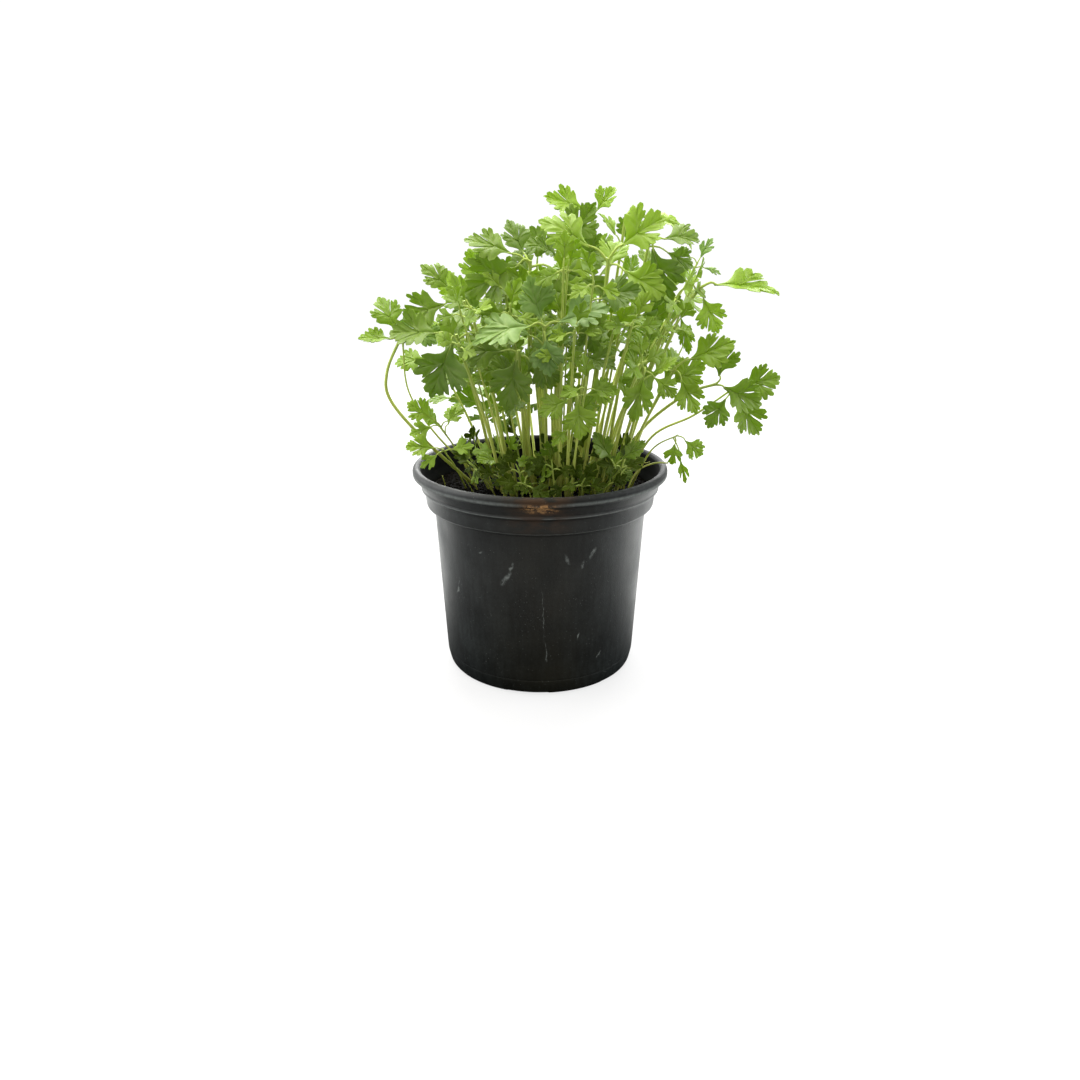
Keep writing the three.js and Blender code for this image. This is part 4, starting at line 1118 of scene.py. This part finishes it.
def strandPath(places, endRadii):
    places = [np.array(place, float) for place in places]
    line = through([2 * places[0] - places[1], *places, 2 * places[-1] - places[-2]], stalk["strandSteps"])
    return line, np.linspace(*endRadii, len(line)), np.full(len(line), young["strandShare"])


def makeGrowth(name, group, seed, tree, patterns, leafPaint, stalkPaint, strands=()):
    # a mesh of the fronds in a group and of loose strands, each strand a row of points and its end radii
    rng = np.random.default_rng(seed)
    points, triangles = [], []
    marks = {key: [] for key in ("veinShare", "toothNumber", "underside", "tint")}
    count = 0
    for frond in group:
        for leaf in frond["leaves"]:
            more, faces, notes = leafletMesh(leaf, patterns[leaf["kind"]], rng)
            points.append(more)
            triangles.append(faces + count)
            count += len(more)
            for key in marks:
                marks[key].append(notes[key])
    leafCount = count

    # Stalks, stems and strands follow as paths of loose edges, for the node group to sweep
    paths = [path for frond in group for path in stalkPaths(frond)] + [strandPath(*strand)
                                                                       for strand in strands]
    edges = []
    for path, _, _ in paths:
        edges += [(count + i, count + i + 1) for i in range(len(path) - 1)]
        count += len(path)
    mesh = meshFrom(name, np.vstack(points + [path for path, _, _ in paths]) * mm, np.vstack(triangles),
                    edges)
    for key, values in marks.items():
        floats(mesh, key, np.concatenate(values + [np.full(count - leafCount,
                                                           0.5 if key == "tint" else 0.0)]))
    floats(mesh, "stalkRadius", np.concatenate([np.zeros(leafCount)] + [radii for _, radii, _ in paths]) * mm)
    floats(mesh, "alongStalk", np.concatenate([np.zeros(leafCount)] + [share for _, _, share in paths]))
    isPath = mesh.attributes.new("isPath", "BOOLEAN", "POINT")
    isPath.data.foreach_set("value", np.arange(count) >= leafCount)
    mesh.materials.append(leafPaint)
    mesh = baked(name, mesh, tree, {"Ribs": stalk["ribs"], "Rib depth": stalk["ribDepth"],
                                    "Stalk material": stalkPaint})
    mesh.set_sharp_from_angle(angle=math.radians(leafShape["sharp"]))
    return mesh


# Upper face, lower face, light through the blade, share of light let through, shine. The bright and deep
# tones are the same leaf with painted light and painted shade in their colours
leafTones = {
    # leaf_bright: the leaf lit from behind, painted light
    "leaf_bright": ("#7e9c26", "#95ac4a", "#a8c430", 0.43, 0.5),
    "leaf_fresh": ("#6e8a20", "#8aa142", "#aac62a", 0.44, 0.5),
    # leaf_deep: the same leaf in painted shade
    "leaf_deep": ("#567020", "#7a9242", "#98b426", 0.43, 0.5),
    # leaf_pale: the leaf's sheen painted into its colour, a painted sheen
    "leaf_pale": ("#66843e", "#829c58", "#9cbc46", 0.36, 0.5),
    # young: darkened as painted shade, for the shoots low among the stalks
    "young": ("#37490a", "#475a10", "#6c7f14", 0.45, 0.1),
}
veinTones = {"vein": "#c0cf7c", "edge": "#b0c45c"}
# Widths of the patterns in mm; a leaf's cells are about 0.4 mm, and finer than 1.5 mm they wouldn't show
tissue = {"patches": 8, "cells": 1.5, "stalkPatches": 12, "stalkStreaks": 0.7}


def veinsOf(add, tooth, share):
    # the main vein, and side veins that run from it to the teeth's tips and fade out there
    offset = tooth
    for operation, more in (("ADD", [0.5]), ("FRACT", []), ("SUBTRACT", [0.5]), ("ABSOLUTE", []),
                            ("MULTIPLY", [share])):
        offset = add("Math", [offset, *more], operation=operation)
    sideVein = add("MapRange", [offset, 0.05, 0.0, 0.0, 0.7], **smoothly)
    fading = add("MapRange", [share, 1.0, 0.5], **smoothly)
    sideVein = add("Math", [sideVein, fading], operation="MULTIPLY")
    mainVein = add("MapRange", [share, 0.10, 0.0], **smoothly)
    return add("Math", [mainVein, sideVein], operation="MAXIMUM")


def leafTissue(name, face, under, glow, letThrough, shine):
    # Parsley leaf: a soft green blade, faintly glossy, lighter at veins and edges, lit through from behind
    material, add = newMaterial(name)
    share, tooth, side, tint = (add("Attribute", attribute_name=mark).outputs["Fac"]
                                for mark in ("veinShare", "toothNumber", "underside", "tint"))
    veins = veinsOf(add, tooth, share)
    place = add("TexCoord").outputs["Object"]
    patches = add("TexNoise", {"Vector": place, "Scale": 1 / (tissue["patches"] * mm), "Detail": 3.0})
    cells = add("TexNoise", {"Vector": place, "Scale": 1 / (tissue["cells"] * mm), "Detail": 2.0})
    patchy = add("MapRange", [patches, 0.3, 0.7, 0.0, 0.45], **smoothly)
    lighter = add("Math", [tint, 0.35], operation="MULTIPLY")
    paleVeins = add("Math", [veins, 0.22], operation="MULTIPLY")
    paleEdge = add("MapRange", [share, 0.9, 1.0, 0.0, 0.3], **smoothly)
    base = add("Mix", [patchy, colour(face), colour(under)], **inColour)
    for amount, tone in ((lighter, glow), (side, under), (paleVeins, veinTones["vein"]),
                         (paleEdge, veinTones["edge"])):
        base = add("Mix", [amount, base, colour(tone)], **inColour)
    darker = add("MapRange", [cells, 0.3, 0.7, 0.0, 0.16], **smoothly)
    base = add("Mix", [darker, base, colour(face)], **inColour, blend_type="MULTIPLY")

    relief = add("Math", [cells, 0.5], operation="MULTIPLY")
    relief = add("Math", [relief, veins], operation="SUBTRACT")
    bump = add("Bump", {"Strength": 0.3, "Distance": 0.14 * mm, "Height": relief})
    gloss = add("MapRange", [side, 0.0, 1.0, 0.42, 0.6])
    skin = add("BsdfPrincipled", {"Base Color": base, "Roughness": gloss, "IOR": 1.42,
                                  "Specular IOR Level": shine, "Normal": bump})
    blocked = add("Math", [veins, 0.35], operation="MULTIPLY")
    light = add("Mix", [blocked, colour(glow), colour(face)], **inColour)
    lit = add("BsdfTranslucent", [light])
    add("OutputMaterial", [add("MixShader", [letThrough, skin, lit])])
    return material


# the foot tone is darker as painted shade low in the pot
stalkTones = {"foot": "#86843e", "middle": "#b8c45e", "tip": "#a2b856", "glow": "#c6d066",
              "streak": "#c8cc70"}


def stalkTissue():
    # Parsley stalk: juicy, ribbed and slightly glossy, yellow at the foot and darkened there as painted shade
    # in the pot, and greener towards the leaves
    material, add = newMaterial("parsley stalk")
    along = add("Attribute", attribute_name="alongStalk").outputs["Fac"]
    place = add("TexCoord").outputs["Object"]
    upright = add("Mapping", {"Vector": place, "Scale": (1, 1, 1 / 14)})
    streaks = add("TexNoise", {"Vector": upright, "Scale": 1 / (tissue["stalkStreaks"] * mm), "Detail": 2.0})
    patches = add("TexNoise", {"Vector": place, "Scale": 1 / (tissue["stalkPatches"] * mm), "Detail": 2.0})
    # the darker foot fades out up the stalk: painted shade in the pot
    low = add("MapRange", [along, 0.08, 0.5], **smoothly)
    high = add("MapRange", [along, 0.5, 1.0], **smoothly)
    streaky = add("MapRange", [streaks, 0.35, 0.7, 0.0, 0.35], **smoothly)
    patchy = add("MapRange", [patches, 0.4, 0.7, 0.0, 0.4], **smoothly)
    base = add("Mix", [low, colour(stalkTones["foot"]), colour(stalkTones["middle"])], **inColour)
    for amount, tone in ((high, "tip"), (streaky, "streak"), (patchy, "tip")):
        base = add("Mix", [amount, base, colour(stalkTones[tone])], **inColour)
    bump = add("Bump", {"Strength": 0.4, "Distance": 0.15 * mm, "Height": streaks})
    skin = add("BsdfPrincipled", {"Base Color": base, "Roughness": 0.45, "IOR": 1.42,
                                  "Specular IOR Level": 0.3, "Normal": bump})
    lit = add("BsdfTranslucent", [colour(stalkTones["glow"])])
    add("OutputMaterial", [add("MixShader", [0.2, skin, lit])])
    return material


def makeFronds(fronds, tree, patterns, stalkPaint):
    paints = {slot: leafTissue("parsley " + slot.replace("_", " "), *tones) for slot,
              tones in leafTones.items()}
    faces, furthest = 0, 0.0
    for i, frond in enumerate(fronds):
        node = f"frond_{i + 1:02d}"
        mesh = makeGrowth(node + "_leafy", [frond], i + 1, tree, patterns, paints[slotOf[node]], stalkPaint)
        newPiece(node + "_leafy", mesh, [node])
        faces += len(mesh.polygons)
        low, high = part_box(node)
        spots = np.array([v.co for v in mesh.vertices])
        furthest = max(furthest, abs(spots.min(0) - low).max(), abs(spots.max(0) - high).max())
    print("fronds:", len(fronds), "with", faces, "faces; furthest from its solid's box:",
          round(furthest / mm, 2), "mm")
    return paints


# Young growth between the stalks: short shoots, a feathery sprout, wisps, two cut stubs and dry threads
young = {
    # how many, tries, height above the soil, leaflet length, stalk radius, least gaps round blades and stalks
    "low": (30, 9000, (6, 26), (9, 15), (0.35, 0.5), 1.0, 0.9),
    "tall": (44, 9000, (70, 128), (10, 15), (0.5, 0.9), 1.1, 1.1),
    "outside": 2,       # most that a blade may pass the solids' box
    "overSoil": 2,      # least height of a blade over the soil
    "underCrown": 14,   # least height of the crown over a shoot's hub
    "middle": (8, -2), "spread": (42, 40),   # of the shoots' feet
    "strandShare": 0.2,      # of the stalk's length, which gives the wisps their colour
    "featherLeaf": 6.5, "featherThick": 0.45,   # length of the middle leaflets, radius of the stalk
    "feathers": [[(34.9, -30, 109), (37.5, -29, 119), (42.5, -27, 127.5), (50, -24, 135), (59.2, -20, 141.9)],
                 [(33, -34, 109), (38, -33.5, 117.5), (44, -31, 124), (49, -27, 128), (56.6, -22, 131.5)]],
    # points of each wisp, and its radius at its two ends
    "wisps": [
        ([(47, -37, 108), (50, -36, 121.5), (55.4, -34, 128.8), (63.5, -34, 132.2), (70.4, -36, 132.7)],
         (0.6, 0.4)),
        ([(44, -20, 108), (46, -20, 117.4), (53.1, -24, 127.9), (61.8, -26, 130.7)], (0.4, 0.3)),
        ([(30.5, -25, 108), (31.2, -24.5, 121), (32.7, -22, 137)], (1.15, 1.1)),
        ([(9.5, -34, 108), (10.5, -36, 118), (11.5, -37, 128)], (0.9, 0.7)),
        ([(-65.6, -10, 110.2), (-58, -14, 112.5), (-48, -12, 110)], (0.3, 0.25)),
        ([(-56, -20, 109), (-54, -24, 116), (-55, -27, 123)], (0.3, 0.25)),
        ([(-46, -24, 109), (-42, -28, 114), (-36, -29, 109.5)], (0.25, 0.2)),
        ([(-38, -18, 109), (-41, -22, 117), (-45, -26, 124)], (0.35, 0.2)),
        ([(40, -40, 108), (44, -41, 114), (50, -37, 118)], (0.35, 0.15)),
        ([(20, -46, 108), (15, -48, 112), (8, -48, 113)], (0.4, 0.2)),
    ],
}


def youngPlan(heights, lengths, radii):
    turn = between(-85, 85)
    out = direction(0, 90, turn)
    reach = draw() ** 0.5
    foot = tuple(middle + spread * reach * way
                 for middle, spread, way in zip(young["middle"], young["spread"], out))
    high = between(*heights)
    lean = 3 + 0.3 * high * reach
    size = between(*lengths)
    return {
        "foot": foot,
        "hub": (foot[0] + lean * out[0] + between(-5, 5), foot[1] + lean * out[1] + between(-3, 3),
                soilFace(*foot) + high),
        "turn": turn, "thick": between(*radii),
        "leaves": [(between(60, 120), between(0, 55), size, size * 0.95, 1.5, between(30, 80)),
                   (between(150, 205), between(0, 30), size * 0.9, size * 0.85, 1.5, between(30, 80)),
                   (between(-25, 30), between(0, 30), size * 0.9, size * 0.85, 1.5, between(30, 80))]}


def growShoots(wanted, attempts, heights, lengths, radii, bladeGap, stalkGap):
    shoots = []
    low, high = (np.array(corner) / mm for corner in cadBox)
    for _ in range(attempts):
        shoot = setOut(youngPlan(heights, lengths, radii), 0)
        blades = np.vstack([leafSamples(leaf) for leaf in shoot["leaves"]])
        stem = lineSamples(shoot["path"])
        reach = np.hypot(blades[:, 0], blades[:, 1])
        hubX, hubY, hubZ = shoot["path"][-1]
        free = ((blades[:, 2] > layout["rimTop"]) | (reach < layout["rimInside"])).all()
        free = free and ((blades > low - young["outside"]) & (blades < high + young["outside"])).all()
        free = free and hubZ < crownTop(hubX, hubY) - young["underCrown"]
        free = free and blades[:, 2].min() > soil["top"] + young["overSoil"]
        if free and isClear(blades, bladeGap) and isClear(stem, stalkGap):
            shoots.append(shoot)
            taken["points"] = np.vstack([taken["points"], blades, stem])
            for leaf in shoot["leaves"]:
                leaf["kind"] = "young"
        if len(shoots) == wanted:
            break
    return shoots


def growFeather(places):
    # a short leaf stalk with a row of tiny leaflets down each side
    steer = [np.array(place, float) for place in places]
    path = through(steer, 9)
    rows = []
    for k in range(4, len(path) - 1, 2):
        along = unit(path[k + 1] - path[k - 1])
        side = unit(np.cross(along, (0.3, -1, 0.4)))
        size = young["featherLeaf"] * math.sin(math.pi * (0.15 + 0.75 * k / len(path)))
        for way in (side, -side):
            axis = unit(way + 0.5 * along)
            normal = unit(np.cross(along, way) if way is side else np.cross(way, along))
            rows.append({"root": path[k], "from": along, "base": path[k] + 0.6 * axis, "axis": axis,
                         "normal": normal, "across": np.cross(axis, normal), "length": size,
                         "width": size * 0.62, "bend": 0.5, "fold": 0.25, "wave": 1.0, "left": 1.0,
                         "right": 1.0, "kind": "young"})
    return {"steer": steer, "thick": young["featherThick"], "leaves": rows}


def makeYoungGrowth(tree, patterns, stalkPaint, paints):
    tall = growShoots(*young["tall"])
    low = growShoots(*young["low"])
    mesh = makeGrowth("slender_shoots", tall, 103, tree, patterns, paints["leaf_fresh"], stalkPaint)
    newPiece("slender_shoots", mesh)
    # the low shoots take the young tone, which is painted shade among the stalks
    mesh = makeGrowth("young_shoots", low, 101, tree, patterns, paints["young"], stalkPaint, young["wisps"])
    newPiece("young_shoots", mesh)
    print("slender shoots:", len(tall), "and young shoots:", len(low))
    mesh = makeGrowth("feathery_sprout", [growFeather(places) for places in young["feathers"]], 102, tree,
                      patterns, paints["leaf_deep"], stalkPaint)
    newPiece("feathery_sprout", mesh)
    print("feathery sprout:", len(mesh.polygons), "faces")


def makePlant():
    fronds = setOutAll()
    addSideLeaves(fronds)
    for frond in fronds:
        for leaf in frond["leaves"]:
            leaf["kind"] = "small" if leaf["small"] else "big"
    patterns = {"big": leafPattern("big", "big"), "small": leafPattern("small", "small"),
                "young": leafPattern("small", "young")}
    tree = stalkTree()
    stalkPaint = stalkTissue()
    paints = makeFronds(fronds, tree, patterns, stalkPaint)
    makeYoungGrowth(tree, patterns, stalkPaint, paints)


makeCamera()
makeLight()
makeFloor()
print("camera, light and floor are set")
makePot()
makeSoil()
makePlant()
